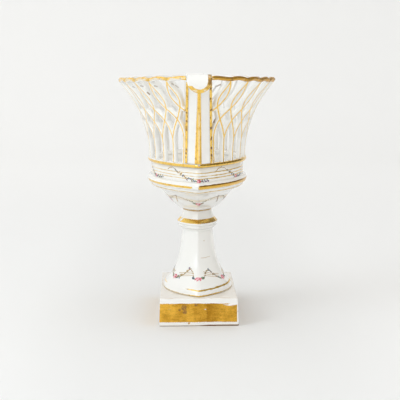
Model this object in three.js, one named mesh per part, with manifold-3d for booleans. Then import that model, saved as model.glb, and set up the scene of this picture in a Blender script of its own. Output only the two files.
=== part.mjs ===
// Openwork porcelain fruit bowl on a bolted pedestal and plinth.
// Millimetres, +Z up. The origin is the centre of the plinth's underside, the bowl's long axis is Y,
// and its pointed ends face -Y (front) and +Y (back). Left is -X and right is +X.
// In plan nearly every piece is a navette: two equal arcs that meet in a point at each end.
import * as THREE from "three";
import { mergeVertices } from "three/addons/utils/BufferGeometryUtils.js";
import Module from "manifold-3d";

const wasm = await Module();
wasm.setup();

// Clearances
const JOINT_GAP = 0.3; // the luting or bolting gap between two neighbouring pieces
const ROD_CLEARANCE = 1.5; // porcelain holes round the rod
const PAD_CLEARANCE = 0.5; // leather and metal washers round the rod
const THREAD_CLEARANCE = 0.3; // nuts round the rod

// Plinth
const PLINTH_WIDTH = 80.4; // at the top
const PLINTH_LENGTH = 141;
const PLINTH_HEIGHT = 29.2;
const PLINTH_DRAFT = 1.1; // how far each face leans out down to the ground
const PLINTH_WALL = 7;
const PLINTH_TOP_THICKNESS = 7;
const PLINTH_EDGE = 0.8; // softened edges

// Pedestal: a low foot plate, a cove and a tapering stem
const FOOT_MARGIN = 1.8; // how far the foot's sides stand inside the plinth's top
const FOOT_POINT_MARGIN = 4; // the same at the foot's two points
const FOOT_PLATE_HEIGHT = 6;
const FOOT_PLATE_SLOPE = 2.6; // how far its upper edge is drawn in
const STEM_HEIGHT = 58;
const STEM_TOP_HALF_WIDTH = 16.4;
const STEM_TOP_HALF_LENGTH = 28;
const STEM_TAPER = 6.5; // straight taper, on top of the cove
const STEM_TAPER_LENGTH = 10; // the same along the bowl's length
const COVE_POWER = 4.4; // how low the cove sits: more is lower
const PEDESTAL_WALL = 5;
const PEDESTAL_TOP_THICKNESS = 9;

// Knop ring: white roll below, gilt chamfer above
const ROLL_HEIGHT = 6.4;
const ROLL_HALF_WIDTH = 21.2;
const ROLL_HALF_LENGTH = 35;
const CHAMFER_HEIGHT = 5.4;
const CHAMFER_HALF_WIDTH = 22;
const CHAMFER_LIP = 1.2; // short upright edge at the foot of the chamfer

// Bowl: neck, cup and band
const NECK_HEIGHT = 8.6;
const NECK_HALF_WIDTH = 15.4;
const NECK_HALF_LENGTH = 26;
const NECK_SPREAD = 2.2; // how far the neck widens down to the knop
const CUP_HEIGHT = 28;
const CUP_POWER = 0.65; // how quickly the cup swells above the neck
const CAVETTO_WIDTH = 8.8; // hollow curve out under the lower moulding
const CAVETTO_LENGTH = 16;
const CAVETTO_POWER = 8;
const BAND_HALF_WIDTH = 49.8;
const BAND_HALF_LENGTH = 107;
const BAND_HEIGHT = 25.2;
const BOWL_WALL = 4.6;
const BOWL_FLOOR = 7; // porcelain between the neck's top and the bowl's inside
const PAD_SEAT_MARGIN = 1; // flat floor left round the leather pad

// Mouldings
const LOWER_MOULDING_HEIGHT = 7.8;
const LOWER_MOULDING_DEPTH = 2.9; // of its half round
const LOWER_MOULDING_FILLET = 0.8; // flat edge between the half round and the band
const LOWER_MOULDING_LIFT = 3.2; // its lower edge above the cup's top
const UPPER_MOULDING_HEIGHT = 4.2;
const UPPER_MOULDING_DEPTH = 3.6;
const UPPER_MOULDING_INSIDE = 1; // how far it stands inside the bowl's wall

// Openwork wall
const WALL_HEIGHT = 79.8; // from the wall's foot to the middle of the rim, at mid side
const WALL_OUTSET = 0.8; // from the band's face out to the middle of the wall's foot
const WALL_POINT_OUTSET = 3; // the same at the two points
const RIM_HALF_WIDTH = 81.2;
const RIM_HALF_LENGTH = 141;
const FLARE_POWER = 2.2;
const RIM_RISE = 2.2; // how much higher the rim is at the posts than at mid side
const STRAND_WIDTH = 5.4; // across its back
const STRAND_FACE_WIDTH = 3.7; // its sides lean in towards the outside
const STRAND_THICKNESS = 3.6;
const BRANCH_SLIMMER = 0.3; // a branch is this much slimmer than the bar that it leaves
const CELLS = 10; // lattice cells from post to post
const FOOT_CROWDING = 0.31; // bars stand closer together near the posts
const PATTERN_SAG = 0.07; // the crossings hang lower at mid side
const CORNER_OPENING = 0.147; // share of the rim's half run left free beside each post
const CORNER_LEVEL = 0.5; // where the pattern starts to leave the post
const FORK_LEVEL = 0.3; // levels are shares of the wall's height
const FORK_POWER = 1.6; // how late the strands of a fork part
const MEETING_LEVEL = 0.69;
const LANCET_BULGE = 0.27; // in cells

// Rim
const RIM_THICKNESS = 5.4;
const RIM_DEPTH = 4.2;
const RIM_ARCH = 1.9; // rise of each scallop

// End posts, ridges and scrolls
const POST_FOOT_HALF_WIDTH = 13.6;
const POST_TOP_HALF_WIDTH = 12.2;
const POST_THICKNESS = 5.2;
const POST_BEAD_WIDTH = 2.3;
const POST_BEAD_HEIGHT = 0.7;
const RIDGE_FOOT_HALF_WIDTH = 2.7;
const RIDGE_TOP_HALF_WIDTH = 1.8;
const RIDGE_CREST_SHARE = 0.7; // how wide the ridge's crest is for its seat
const RIDGE_HEIGHT = 1.7;
const RIDGE_TOP_DROP = 9; // the ridge stops this far below the post's top
const SCROLL_INSET = 0.7; // the scroll is this much narrower than the post on each side
const SCROLL_RISE = 2.2; // straight run up from the post
const SCROLL_RADIUS = 6.8; // middle of the thickness
const SCROLL_THICKNESS = 4.6;
const SCROLL_LIP_LENGTH = 5.8; // straight run down to the lip
const SCROLL_LIP_TAPER = 11; // how much of its end is rounded
const SCROLL_TIP_HALF_WIDTH = 1.8; // of the blunt tip
const SCROLL_TURN = 196; // degrees from straight up to the lip's direction

// Tie rod and its fittings
const ROD_RADIUS = 3;
const ROD_PROJECTION = 4; // thread left below the bottom nut
const PAD_RADIUS = 12;
const PAD_THICKNESS = 1.6;
const WASHER_RADIUS = 11;
const WASHER_THICKNESS = 1.4;
const CAP_NUT_RADIUS = 8;
const CAP_NUT_SKIRT = 4.5;
const CAP_NUT_DOME = 4;
const CAP_NUT_THREAD_DEPTH = 6;
const NUT_ACROSS_FLATS = 10;
const NUT_HEIGHT = 5;

// Fineness of the meshes, and how the rings crowd where a curve is tightest
const SIDE_STEPS = 10; // along one arc of a navette
const WIDE_SIDE_STEPS = 13;
const STEM_STEPS = 9;
const STEM_CROWDING = 1.6;
const CUP_STEPS = 8;
const CUP_CROWDING = 1.3;
const STRAND_STEPS = 8;
const PATTERN_STEP = 0.01; // for slopes, in cells and levels
const RIM_SIDES = 6;
const ARCH_STEPS = 4;
const POST_STEPS = 9;
const SCROLL_STEPS = 12;
const LIP_STEPS = 5;
const ROUND_STEPS = 16;
const DOME_STEPS = 5;

// Heights of the stack, from the ground up
const pedestalFoot = PLINTH_HEIGHT + JOINT_GAP;
const stemFoot = pedestalFoot + FOOT_PLATE_HEIGHT;
const stemTop = stemFoot + STEM_HEIGHT;
const rollFoot = stemTop + JOINT_GAP;
const chamferFoot = rollFoot + ROLL_HEIGHT;
const knopTop = chamferFoot + CHAMFER_HEIGHT;
const neckFoot = knopTop + JOINT_GAP;
const cupFoot = neckFoot + NECK_HEIGHT;
const cupTop = cupFoot + CUP_HEIGHT;
const bandTop = cupTop + BAND_HEIGHT;
const bowlFloor = cupFoot + BOWL_FLOOR;
const upperMouldingFoot = bandTop + JOINT_GAP;
const upperMouldingTop = upperMouldingFoot + UPPER_MOULDING_HEIGHT;
const wallFoot = upperMouldingTop + JOINT_GAP;

// Materials
function finish(color, roughness, metalness) {
  return new THREE.MeshStandardMaterial({ color, roughness, metalness });
}
const porcelain = finish(0xf3f1ec, 0.15, 0);
const gilding = finish(0xc8912c, 0.28, 0.9);
const brass = finish(0xb08d45, 0.35, 1);
const steel = finish(0x8c8c8a, 0.4, 1);
const leather = finish(0x6b4a2f, 0.8, 0);

// Plans: a navette is kept as the radius of its arcs and how far their centres lie past the middle
function navette(halfWidth, halfLength) {
  const radius = (halfLength ** 2 + halfWidth ** 2) / (2 * halfWidth);
  return { radius, shift: radius - halfWidth };
}

// The parallel navette that lies a distance outside (or, if negative, inside) another one
function grown(plan, distance) {
  return { radius: plan.radius + distance, shift: plan.shift };
}

function tipAngle(plan) {
  return Math.acos(plan.shift / plan.radius);
}

// The angle along an arc where it is a given distance from the long axis
function angleAt(plan, offset) {
  return Math.acos((offset + plan.shift) / plan.radius);
}

function planPoint(plan, side, angle) {
  return [
    side * (plan.radius * Math.cos(angle) - plan.shift),
    plan.radius * Math.sin(angle),
  ];
}

// A closed ring of points on a navette at one height, anticlockwise from the front point
function navetteRing(plan, height, steps) {
  const points = [];
  const tip = tipAngle(plan);
  for (const side of [1, -1])
    for (let i = 0; i < steps; i++) {
      const angle = side * tip * ((2 * i) / steps - 1);
      const [x, y] = planPoint(plan, side, angle);
      points.push(new THREE.Vector3(x, y, height));
    }
  return points;
}

// A round ring with as many points as a navette ring, for the holes round the rod
function roundRing(radius, height, steps) {
  const points = [];
  for (let i = 0; i < 2 * steps; i++) {
    const turn = (Math.PI * i) / steps - Math.PI / 2;
    points.push(
      new THREE.Vector3(radius * Math.cos(turn), radius * Math.sin(turn), height),
    );
  }
  return points;
}

// Solids from rings of equal length: closed in a loop, or with a flat cap on both ends
function ringGeometry(rings, looped) {
  const count = rings[0].length;
  const positions = rings.flat().flatMap((point) => point.toArray());
  const triangles = [];
  const bands = looped ? rings.length : rings.length - 1;
  for (let i = 0; i < bands; i++)
    for (let j = 0; j < count; j++) {
      const next = (i + 1) % rings.length;
      const a = i * count + j;
      const b = i * count + ((j + 1) % count);
      const c = next * count + ((j + 1) % count);
      const d = next * count + j;
      triangles.push(a, b, c, a, c, d);
    }
  if (!looped) {
    const last = (rings.length - 1) * count;
    const contour = capContour(rings[0]);
    for (const [a, b, c] of THREE.ShapeUtils.triangulateShape(contour, [])) {
      triangles.push(a, c, b);
      triangles.push(last + a, last + b, last + c);
    }
  }
  const geometry = new THREE.BufferGeometry();
  geometry.setAttribute(
    "position",
    new THREE.Float32BufferAttribute(positions, 3),
  );
  geometry.setIndex(triangles);
  return geometry;
}

// A ring drawn flat, in the plane that it lies in, so that its cap can be filled
function capContour(ring) {
  const normal = new THREE.Vector3();
  ring.forEach((point, i) => {
    const next = ring[(i + 1) % ring.length];
    normal.add(point.clone().cross(next));
  });
  const across = ring[1].clone().sub(ring[0]).normalize();
  const up = normal.normalize().clone().cross(across);
  return ring.map(
    (point) => new THREE.Vector2(point.dot(across), point.dot(up)),
  );
}

// Joining and cutting
function solid(geometry) {
  const bare = geometry.clone();
  bare.deleteAttribute("normal");
  bare.deleteAttribute("uv");
  const merged = mergeVertices(bare, 1e-4);
  return new wasm.Manifold(
    new wasm.Mesh({
      numProp: 3,
      vertProperties: new Float32Array(merged.attributes.position.array),
      triVerts: new Uint32Array(merged.index.array),
    }),
  );
}

function geometryOf(body) {
  const mesh = body.getMesh();
  const geometry = new THREE.BufferGeometry();
  geometry.setAttribute(
    "position",
    new THREE.BufferAttribute(new Float32Array(mesh.vertProperties), 3),
  );
  geometry.setIndex(new THREE.BufferAttribute(new Uint32Array(mesh.triVerts), 1));
  return geometry;
}

function piece(name, geometry, material, height = 0, turn = 0) {
  const shown = geometry.index ? geometry.toNonIndexed() : geometry;
  shown.computeVertexNormals();
  const mesh = new THREE.Mesh(shown, material);
  mesh.name = name;
  mesh.position.z = height;
  mesh.rotation.z = turn;
  return mesh;
}

// Turned pieces: washers, pads, the rod and the cap nut
function turned(profile) {
  const outline = profile.map(([x, y]) => new THREE.Vector2(x, y));
  const geometry = new THREE.LatheGeometry(outline, ROUND_STEPS);
  return geometry.rotateX(Math.PI / 2);
}

function washerGeometry(outer, inner, thickness) {
  return turned([
    [inner, 0],
    [outer, 0],
    [outer, thickness],
    [inner, thickness],
    [inner, 0],
  ]);
}

// Plinth: a block with softened edges, hollow below, with a hole for the rod
function rectangleRing(spread, height) {
  const x = PLINTH_WIDTH / 2 + spread;
  const y = PLINTH_LENGTH / 2 + spread;
  return [
    new THREE.Vector3(-x, -y, height),
    new THREE.Vector3(x, -y, height),
    new THREE.Vector3(x, y, height),
    new THREE.Vector3(-x, y, height),
  ];
}

function plinthGeometry() {
  const block = ringGeometry(
    [
      rectangleRing(PLINTH_DRAFT - PLINTH_EDGE, 0),
      rectangleRing(PLINTH_DRAFT, PLINTH_EDGE),
      rectangleRing(0, PLINTH_HEIGHT - PLINTH_EDGE),
      rectangleRing(-PLINTH_EDGE / 3, PLINTH_HEIGHT - PLINTH_EDGE / 3),
      rectangleRing(-PLINTH_EDGE, PLINTH_HEIGHT),
    ],
    false,
  );
  const depth = PLINTH_HEIGHT - PLINTH_TOP_THICKNESS;
  const hollow = new THREE.BoxGeometry(
    PLINTH_WIDTH - 2 * PLINTH_WALL,
    PLINTH_LENGTH - 2 * PLINTH_WALL,
    2 * depth,
  );
  const hole = new THREE.CylinderGeometry(
    ROD_RADIUS + ROD_CLEARANCE,
    ROD_RADIUS + ROD_CLEARANCE,
    3 * PLINTH_HEIGHT,
    ROUND_STEPS,
  ).rotateX(Math.PI / 2);
  return geometryOf(solid(block).subtract(solid(hollow)).subtract(solid(hole)));
}

// Pedestal: share is 0 at the stem's foot and 1 at its top
const footHalfWidth = PLINTH_WIDTH / 2 - FOOT_MARGIN;
const footHalfLength = PLINTH_LENGTH / 2 - FOOT_POINT_MARGIN;

function stemPlan(share) {
  const left = 1 - share;
  const plateWidth = footHalfWidth - FOOT_PLATE_SLOPE;
  const plateLength = footHalfLength - FOOT_PLATE_SLOPE;
  const coveWidth = plateWidth - STEM_TOP_HALF_WIDTH - STEM_TAPER;
  const coveLength = plateLength - STEM_TOP_HALF_LENGTH - STEM_TAPER_LENGTH;
  const cove = left ** COVE_POWER;
  return navette(
    STEM_TOP_HALF_WIDTH + STEM_TAPER * left + coveWidth * cove,
    STEM_TOP_HALF_LENGTH + STEM_TAPER_LENGTH * left + coveLength * cove,
  );
}

function pedestalGeometry() {
  const hole = ROD_RADIUS + ROD_CLEARANCE;
  const foot = navette(footHalfWidth, footHalfLength);
  const shares = [];
  for (let i = 0; i <= STEM_STEPS; i++) shares.push((i / STEM_STEPS) ** STEM_CROWDING);
  const hollowTop = stemTop - PEDESTAL_TOP_THICKNESS;
  const rings = [navetteRing(foot, pedestalFoot, SIDE_STEPS)];
  for (const share of shares)
    rings.push(
      navetteRing(stemPlan(share), stemFoot + STEM_HEIGHT * share, SIDE_STEPS),
    );
  rings.push(roundRing(hole, stemTop, SIDE_STEPS));
  rings.push(roundRing(hole, hollowTop, SIDE_STEPS));
  for (const share of shares.slice(0, -1).reverse()) {
    const height = stemFoot + (hollowTop - stemFoot) * share;
    const plan = stemPlan((height - stemFoot) / STEM_HEIGHT);
    rings.push(navetteRing(grown(plan, -PEDESTAL_WALL), height, SIDE_STEPS));
  }
  rings.push(navetteRing(grown(foot, -PEDESTAL_WALL), pedestalFoot, SIDE_STEPS));
  return ringGeometry(rings, true);
}

// Knop ring: a quarter-round roll, a short lip and a chamfer up to the neck
function knopGeometry() {
  const hole = ROD_RADIUS + ROD_CLEARANCE;
  const roll = navette(ROLL_HALF_WIDTH, ROLL_HALF_LENGTH);
  const stem = stemPlan(1);
  const rollDepth = ROLL_HALF_WIDTH - STEM_TOP_HALF_WIDTH;
  const lip = grown(roll, CHAMFER_HALF_WIDTH - ROLL_HALF_WIDTH);
  const neck = grown(neckPlan(0), JOINT_GAP);
  const rings = [navetteRing(stem, rollFoot, SIDE_STEPS)];
  for (const turn of [0.5, 1, 1.5]) {
    const swell = Math.sin((Math.PI / 2) * turn) * rollDepth;
    rings.push(
      navetteRing(
        grown(roll, swell - rollDepth),
        rollFoot + (ROLL_HEIGHT * turn) / 2,
        SIDE_STEPS,
      ),
    );
  }
  rings.push(navetteRing(lip, chamferFoot, SIDE_STEPS));
  rings.push(navetteRing(lip, chamferFoot + CHAMFER_LIP, SIDE_STEPS));
  rings.push(navetteRing(neck, knopTop, SIDE_STEPS));
  rings.push(roundRing(hole, knopTop, SIDE_STEPS));
  rings.push(roundRing(hole, rollFoot, SIDE_STEPS));
  return ringGeometry(rings, true);
}

// Bowl: neck and cup plans, with share 0 at the foot and 1 at the top of each
function neckPlan(share) {
  const spread = NECK_SPREAD * (1 - share) ** 2;
  return navette(NECK_HALF_WIDTH + spread, NECK_HALF_LENGTH + spread);
}

function cupPlan(share) {
  const swellWidth = BAND_HALF_WIDTH - NECK_HALF_WIDTH - CAVETTO_WIDTH;
  const swellLength = BAND_HALF_LENGTH - NECK_HALF_LENGTH - CAVETTO_LENGTH;
  const swell = share ** CUP_POWER;
  const cavetto = share ** CAVETTO_POWER;
  return navette(
    NECK_HALF_WIDTH + swellWidth * swell + CAVETTO_WIDTH * cavetto,
    NECK_HALF_LENGTH + swellLength * swell + CAVETTO_LENGTH * cavetto,
  );
}

const bandPlan = navette(BAND_HALF_WIDTH, BAND_HALF_LENGTH);

function bowlGeometry() {
  const hole = ROD_RADIUS + ROD_CLEARANCE;
  const rings = [];
  for (const share of [0, 0.4, 1])
    rings.push(
      navetteRing(
        neckPlan(share),
        neckFoot + NECK_HEIGHT * share,
        WIDE_SIDE_STEPS,
      ),
    );
  const shares = [];
  for (let i = 1; i <= CUP_STEPS; i++)
    shares.push(1 - (1 - i / CUP_STEPS) ** CUP_CROWDING);
  for (const share of shares)
    rings.push(
      navetteRing(cupPlan(share), cupFoot + CUP_HEIGHT * share, WIDE_SIDE_STEPS),
    );
  rings.push(navetteRing(bandPlan, bandTop, WIDE_SIDE_STEPS));
  const inside = grown(bandPlan, -BOWL_WALL);
  rings.push(navetteRing(inside, bandTop, WIDE_SIDE_STEPS));
  rings.push(navetteRing(inside, cupTop + BOWL_WALL, WIDE_SIDE_STEPS));
  const insideRise = cupTop - bowlFloor;
  for (const share of shares.slice(0, -1).reverse()) {
    const height = bowlFloor + insideRise * share;
    const plan = cupPlan((height - cupFoot) / CUP_HEIGHT);
    rings.push(navetteRing(grown(plan, -BOWL_WALL), height, WIDE_SIDE_STEPS));
  }
  rings.push(roundRing(PAD_RADIUS + PAD_SEAT_MARGIN, bowlFloor, WIDE_SIDE_STEPS));
  rings.push(roundRing(hole, bowlFloor, WIDE_SIDE_STEPS));
  rings.push(roundRing(hole, neckFoot, WIDE_SIDE_STEPS));
  return ringGeometry(rings, true);
}

// Mouldings: a half-round ring on an outer plan, from the wall that carries it to its full depth
function mouldingGeometry(inner, outer, height, depth) {
  const rings = [navetteRing(inner, 0, WIDE_SIDE_STEPS)];
  for (const turn of [0, 0.25, 0.5, 0.75, 1]) {
    const angle = Math.PI * turn;
    rings.push(
      navetteRing(
        grown(outer, depth * Math.sin(angle)),
        (height * (1 - Math.cos(angle))) / 2,
        WIDE_SIDE_STEPS,
      ),
    );
  }
  rings.push(navetteRing(inner, height, WIDE_SIDE_STEPS));
  return ringGeometry(rings, true);
}

// Openwork wall: heights start at its foot, and level 0 is its foot and level 1 its rim
function wallPlan(level) {
  const flare = Math.max(level, 0) ** FLARE_POWER;
  const footWidth = BAND_HALF_WIDTH + WALL_OUTSET;
  const footLength = BAND_HALF_LENGTH + WALL_POINT_OUTSET;
  return navette(
    footWidth + (RIM_HALF_WIDTH - footWidth) * flare,
    footLength + (RIM_HALF_LENGTH - footLength) * flare,
  );
}

// The level of a height beside the posts
function levelAt(height) {
  return height / (WALL_HEIGHT + RIM_RISE);
}

function postHalfWidth(level) {
  return (
    POST_FOOT_HALF_WIDTH + (POST_TOP_HALF_WIDTH - POST_FOOT_HALF_WIDTH) * level
  );
}

// How far a place is from mid side: 0 there, 1 at the line of the first or last cell
function sideShare(cell) {
  return (2 * cell) / CELLS - 1;
}

// The height of a level, a little more near the posts
function wallHeight(share, level) {
  return level * (WALL_HEIGHT + RIM_RISE * Math.min(share ** 2, 1));
}

// The angle along the arc of a line of the pattern, at a level
function cellAngle(share, level) {
  const border = angleAt(wallPlan(level), postHalfWidth(level));
  const opening = THREE.MathUtils.smoothstep(level, CORNER_LEVEL, 1);
  const line = border * (1 - CORNER_OPENING * opening);
  const crowding = FOOT_CROWDING * (1 - level ** 2);
  const within = Math.min(Math.abs(share), 1);
  return line * share * (1 + crowding * (1 - within));
}

// A point on the middle of the right wall's thickness, from a place in the pattern
function wallPoint(cell, level) {
  const share = sideShare(cell);
  const within = Math.min(Math.abs(share), 1);
  const sag = PATTERN_SAG * (1 - within ** 2) * Math.sin(Math.PI * level);
  const lowered = level - sag;
  const [x, y] = planPoint(wallPlan(lowered), 1, cellAngle(share, lowered));
  return new THREE.Vector3(x, y, wallHeight(share, lowered));
}

function wallNormal(cell, level) {
  const along = wallPoint(cell + PATTERN_STEP, level);
  along.sub(wallPoint(cell - PATTERN_STEP, level));
  const up = wallPoint(cell, Math.min(level + PATTERN_STEP, 1));
  up.sub(wallPoint(cell, Math.max(level - PATTERN_STEP, 0)));
  return along.cross(up).normalize();
}

// A strand swept through places of the pattern, wider across its back than across its face
function strandSolid(places, slimmer) {
  const halfBack = (STRAND_WIDTH - slimmer) / 2;
  const halfFace = (STRAND_FACE_WIDTH - slimmer) / 2;
  const halfThickness = (STRAND_THICKNESS - slimmer) / 2;
  const section = [
    [-halfFace, halfThickness],
    [halfFace, halfThickness],
    [halfBack, -halfThickness],
    [-halfBack, -halfThickness],
  ];
  const points = places.map(([cell, level]) => wallPoint(cell, level));
  const rings = places.map(([cell, level], i) => {
    const ahead = points[Math.min(i + 1, points.length - 1)].clone();
    const along = ahead.sub(points[Math.max(i - 1, 0)]).normalize();
    const out = wallNormal(cell, level);
    const across = along.clone().cross(out).normalize();
    out.copy(across).cross(along);
    return section.map(([x, y]) =>
      points[i].clone().addScaledVector(across, x).addScaledVector(out, y),
    );
  });
  return solid(ringGeometry(rings, false));
}

// How far a strand has leant from its bar's line at a level, in cells: it crosses its neighbour's,
// meets the next bar's line and closes one side of that line's lancet
function leanAt(level) {
  if (level <= FORK_LEVEL) return 0;
  if (level < MEETING_LEVEL)
    return ((level - FORK_LEVEL) / (MEETING_LEVEL - FORK_LEVEL)) ** FORK_POWER;
  const share = (level - MEETING_LEVEL) / (1 - MEETING_LEVEL);
  return 1 + LANCET_BULGE * Math.sin(Math.PI * share) * Math.sqrt(1 - share);
}

// The levels of a strand's steps, from its lowest one up to the rim
function strandLevels(lowest) {
  const levels = [];
  const run = (1 - FORK_LEVEL) / STRAND_STEPS;
  for (let i = lowest; i <= STRAND_STEPS; i++) levels.push(FORK_LEVEL + run * i);
  return levels;
}

function strandPlaces(cell, direction, levels) {
  return levels.map((level) => [cell + direction * leanAt(level), level]);
}

// Everything between the two flanks of the posts, with the joint's gap
function postSpace() {
  const across = (level) => postHalfWidth(level) + JOINT_GAP;
  const shape = new THREE.Shape();
  shape.moveTo(-across(-1), -WALL_HEIGHT);
  shape.lineTo(across(-1), -WALL_HEIGHT);
  shape.lineTo(across(2), 2 * WALL_HEIGHT);
  shape.lineTo(-across(2), 2 * WALL_HEIGHT);
  shape.closePath();
  const reach = 2 * RIM_HALF_LENGTH;
  const slab = new THREE.ExtrudeGeometry(shape, {
    depth: 2 * reach,
    bevelEnabled: false,
  });
  return solid(slab.translate(0, 0, -reach).rotateX(Math.PI / 2));
}

// Every bar of the foot bends into one strand, and the other one branches off it at the fork. Beside
// each post one more strand comes out of the post.
function latticeGeometry() {
  const whole = [0, FORK_LEVEL / 2].concat(strandLevels(0));
  const strands = [];
  for (let cell = 0; cell <= CELLS; cell++) {
    const lean = cell < CELLS ? 1 : -1;
    strands.push(strandSolid(strandPlaces(cell, lean, whole), 0));
    if (cell === 0 || cell === CELLS) continue;
    const branch = strandPlaces(cell, -lean, strandLevels(0));
    strands.push(strandSolid(branch, BRANCH_SLIMMER));
  }
  const upper = strandLevels(Math.floor(STRAND_STEPS / 2));
  strands.push(strandSolid(strandPlaces(-1, 1, upper), 0));
  strands.push(strandSolid(strandPlaces(CELLS + 1, -1, upper), 0));
  let lattice = strands[0];
  for (const strand of strands.slice(1)) lattice = lattice.add(strand);
  return geometryOf(lattice.subtract(rimSolid(JOINT_GAP)).subtract(postSpace()));
}

// Rim: an oval bar whose scallops dip at the heads of the lancets
function rimPlaces() {
  const post = angleAt(wallPlan(1), 0);
  const nodes = [-post];
  for (let cell = 0; cell <= CELLS; cell++)
    nodes.push(cellAngle(sideShare(cell), 1));
  nodes.push(post);
  const places = [];
  for (let i = 0; i < nodes.length - 1; i++)
    for (let j = 0; j < ARCH_STEPS; j++) {
      const share = j / ARCH_STEPS;
      places.push([
        nodes[i] + (nodes[i + 1] - nodes[i]) * share,
        RIM_ARCH * Math.sin(Math.PI * share),
      ]);
    }
  places.push([post, 0]);
  return places;
}

function rimSolid(gap) {
  const node = cellAngle(1, 1);
  const rings = rimPlaces().map(([angle, rise]) => {
    const height = wallHeight(angle / node, 1) + rise;
    const ring = [];
    for (let i = RIM_SIDES; i > 0; i--) {
      const turn = (2 * Math.PI * i) / RIM_SIDES;
      const out = (RIM_THICKNESS / 2 + gap) * Math.cos(turn);
      const up = (RIM_DEPTH / 2 + gap) * Math.sin(turn);
      const [x, y] = planPoint(grown(wallPlan(1), out), 1, angle);
      ring.push(new THREE.Vector3(x, y, height + up));
    }
    return ring;
  });
  return solid(ringGeometry(rings, false));
}

function rimGeometry() {
  return geometryOf(rimSolid(0).subtract(postSpace()));
}

// End posts: stations across the post, as [share of the half width, 1 where the bead raises it]
const postStations = [
  [-1, 1],
  [-1, 1],
  [-1, 0],
  [-0.4, 0],
  [0, 0],
  [0.4, 0],
  [1, 0],
  [1, 1],
  [1, 1],
];

// One level of the front post: its face follows the navette's point, with a bead along both edges
function postRing(level, height) {
  const plan = wallPlan(level);
  const halfWidth = postHalfWidth(level);
  const inside = grown(plan, -POST_THICKNESS / 2);
  const face = [];
  const back = [];
  postStations.forEach(([share, bead], i) => {
    const edge = i === 0 || i === postStations.length - 1;
    const onBead = Math.abs(share) === 1 && !edge;
    const offset = Math.abs(share) * halfWidth - (onBead ? POST_BEAD_WIDTH : 0);
    const outside = grown(plan, POST_THICKNESS / 2 + POST_BEAD_HEIGHT * bead);
    const side = share < 0 ? -1 : 1;
    const [x, y] = planPoint(outside, side, -angleAt(outside, offset));
    face.push(new THREE.Vector3(x, y, height));
    if (onBead && bead) return;
    const [u, v] = planPoint(inside, side, -angleAt(inside, offset));
    back.push(new THREE.Vector3(u, v, height));
  });
  return face.concat(back.reverse());
}

function postGeometry() {
  const rings = [];
  for (let i = 0; i <= POST_STEPS; i++) {
    const height = (WALL_HEIGHT * i) / POST_STEPS;
    rings.push(postRing(levelAt(height), height));
  }
  return ringGeometry(rings, false);
}

// Ridge: a low arris moulding along the navette's point, on the front post's face
function ridgeGeometry() {
  const taper = RIDGE_TOP_HALF_WIDTH - RIDGE_FOOT_HALF_WIDTH;
  const rings = [];
  for (let i = 0; i <= POST_STEPS; i++) {
    const height = ((WALL_HEIGHT - RIDGE_TOP_DROP) * i) / POST_STEPS;
    const level = levelAt(height);
    const half = RIDGE_FOOT_HALF_WIDTH + taper * level;
    const seat = grown(wallPlan(level), POST_THICKNESS / 2 + JOINT_GAP);
    const crest = grown(seat, RIDGE_HEIGHT);
    const places = [
      [seat, -half],
      [crest, -half * RIDGE_CREST_SHARE],
      [crest, 0],
      [crest, half * RIDGE_CREST_SHARE],
      [seat, half],
      [seat, 0],
    ];
    rings.push(
      places.map(([plan, offset]) => {
        const angle = -angleAt(plan, Math.abs(offset));
        const [x, y] = planPoint(plan, offset < 0 ? -1 : 1, angle);
        return new THREE.Vector3(x, y, height);
      }),
    );
  }
  return ringGeometry(rings, false);
}

// Scroll: the front post's head, rolled outwards and down to a round lip. Its path is drawn in the
// plane x = 0, as [distance to the front, height].
const scrollHalfWidth = POST_TOP_HALF_WIDTH - SCROLL_INSET;
const scrollStations = [-1, -0.55, 0, 0.55, 1];

function scrollGeometry() {
  const root = WALL_HEIGHT + JOINT_GAP;
  const head = wallPlan(levelAt(root));
  const below = wallPlan(levelAt(root - SCROLL_RISE));
  const reach = planPoint(head, 1, tipAngle(head))[1];
  const vee = reach - planPoint(head, 1, angleAt(head, scrollHalfWidth))[1];
  const lean = reach - planPoint(below, 1, tipAngle(below))[1];
  const start = Math.atan(lean / SCROLL_RISE);
  const finish = THREE.MathUtils.degToRad(SCROLL_TURN);
  const stepAngle = (finish - start) / SCROLL_STEPS;
  const rollLength = SCROLL_RADIUS * (finish - start);
  const taperStart = rollLength + SCROLL_LIP_LENGTH - SCROLL_LIP_TAPER;
  const place = new THREE.Vector2(reach + lean, root + SCROLL_RISE);
  const rings = [scrollRoot(head, root)];
  const addRing = (turn, length, bend) => {
    const share = Math.max(length - taperStart, 0) / SCROLL_LIP_TAPER;
    const round = scrollHalfWidth * Math.sqrt(Math.max(1 - share ** 2, 0));
    const halfWidth = Math.max(round, SCROLL_TIP_HALF_WIDTH);
    rings.push(scrollRing(place, turn, halfWidth, bend));
  };
  addRing(start, 0, vee);
  for (let i = 1; i <= SCROLL_STEPS; i++) {
    const middle = start + stepAngle * (i - 0.5);
    place.x += Math.sin(middle) * SCROLL_RADIUS * stepAngle;
    place.y += Math.cos(middle) * SCROLL_RADIUS * stepAngle;
    const bend = vee * Math.max(1 - (2 * i) / SCROLL_STEPS, 0);
    addRing(start + stepAngle * i, (rollLength * i) / SCROLL_STEPS, bend);
  }
  const lipStart = place.clone();
  for (let i = 1; i <= LIP_STEPS; i++) {
    const run = SCROLL_LIP_LENGTH * Math.sin((Math.PI / 2) * (i / LIP_STEPS));
    place.x = lipStart.x + Math.sin(finish) * run;
    place.y = lipStart.y + Math.cos(finish) * run;
    addRing(finish, rollLength + run, 0);
  }
  return ringGeometry(rings, false);
}

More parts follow.
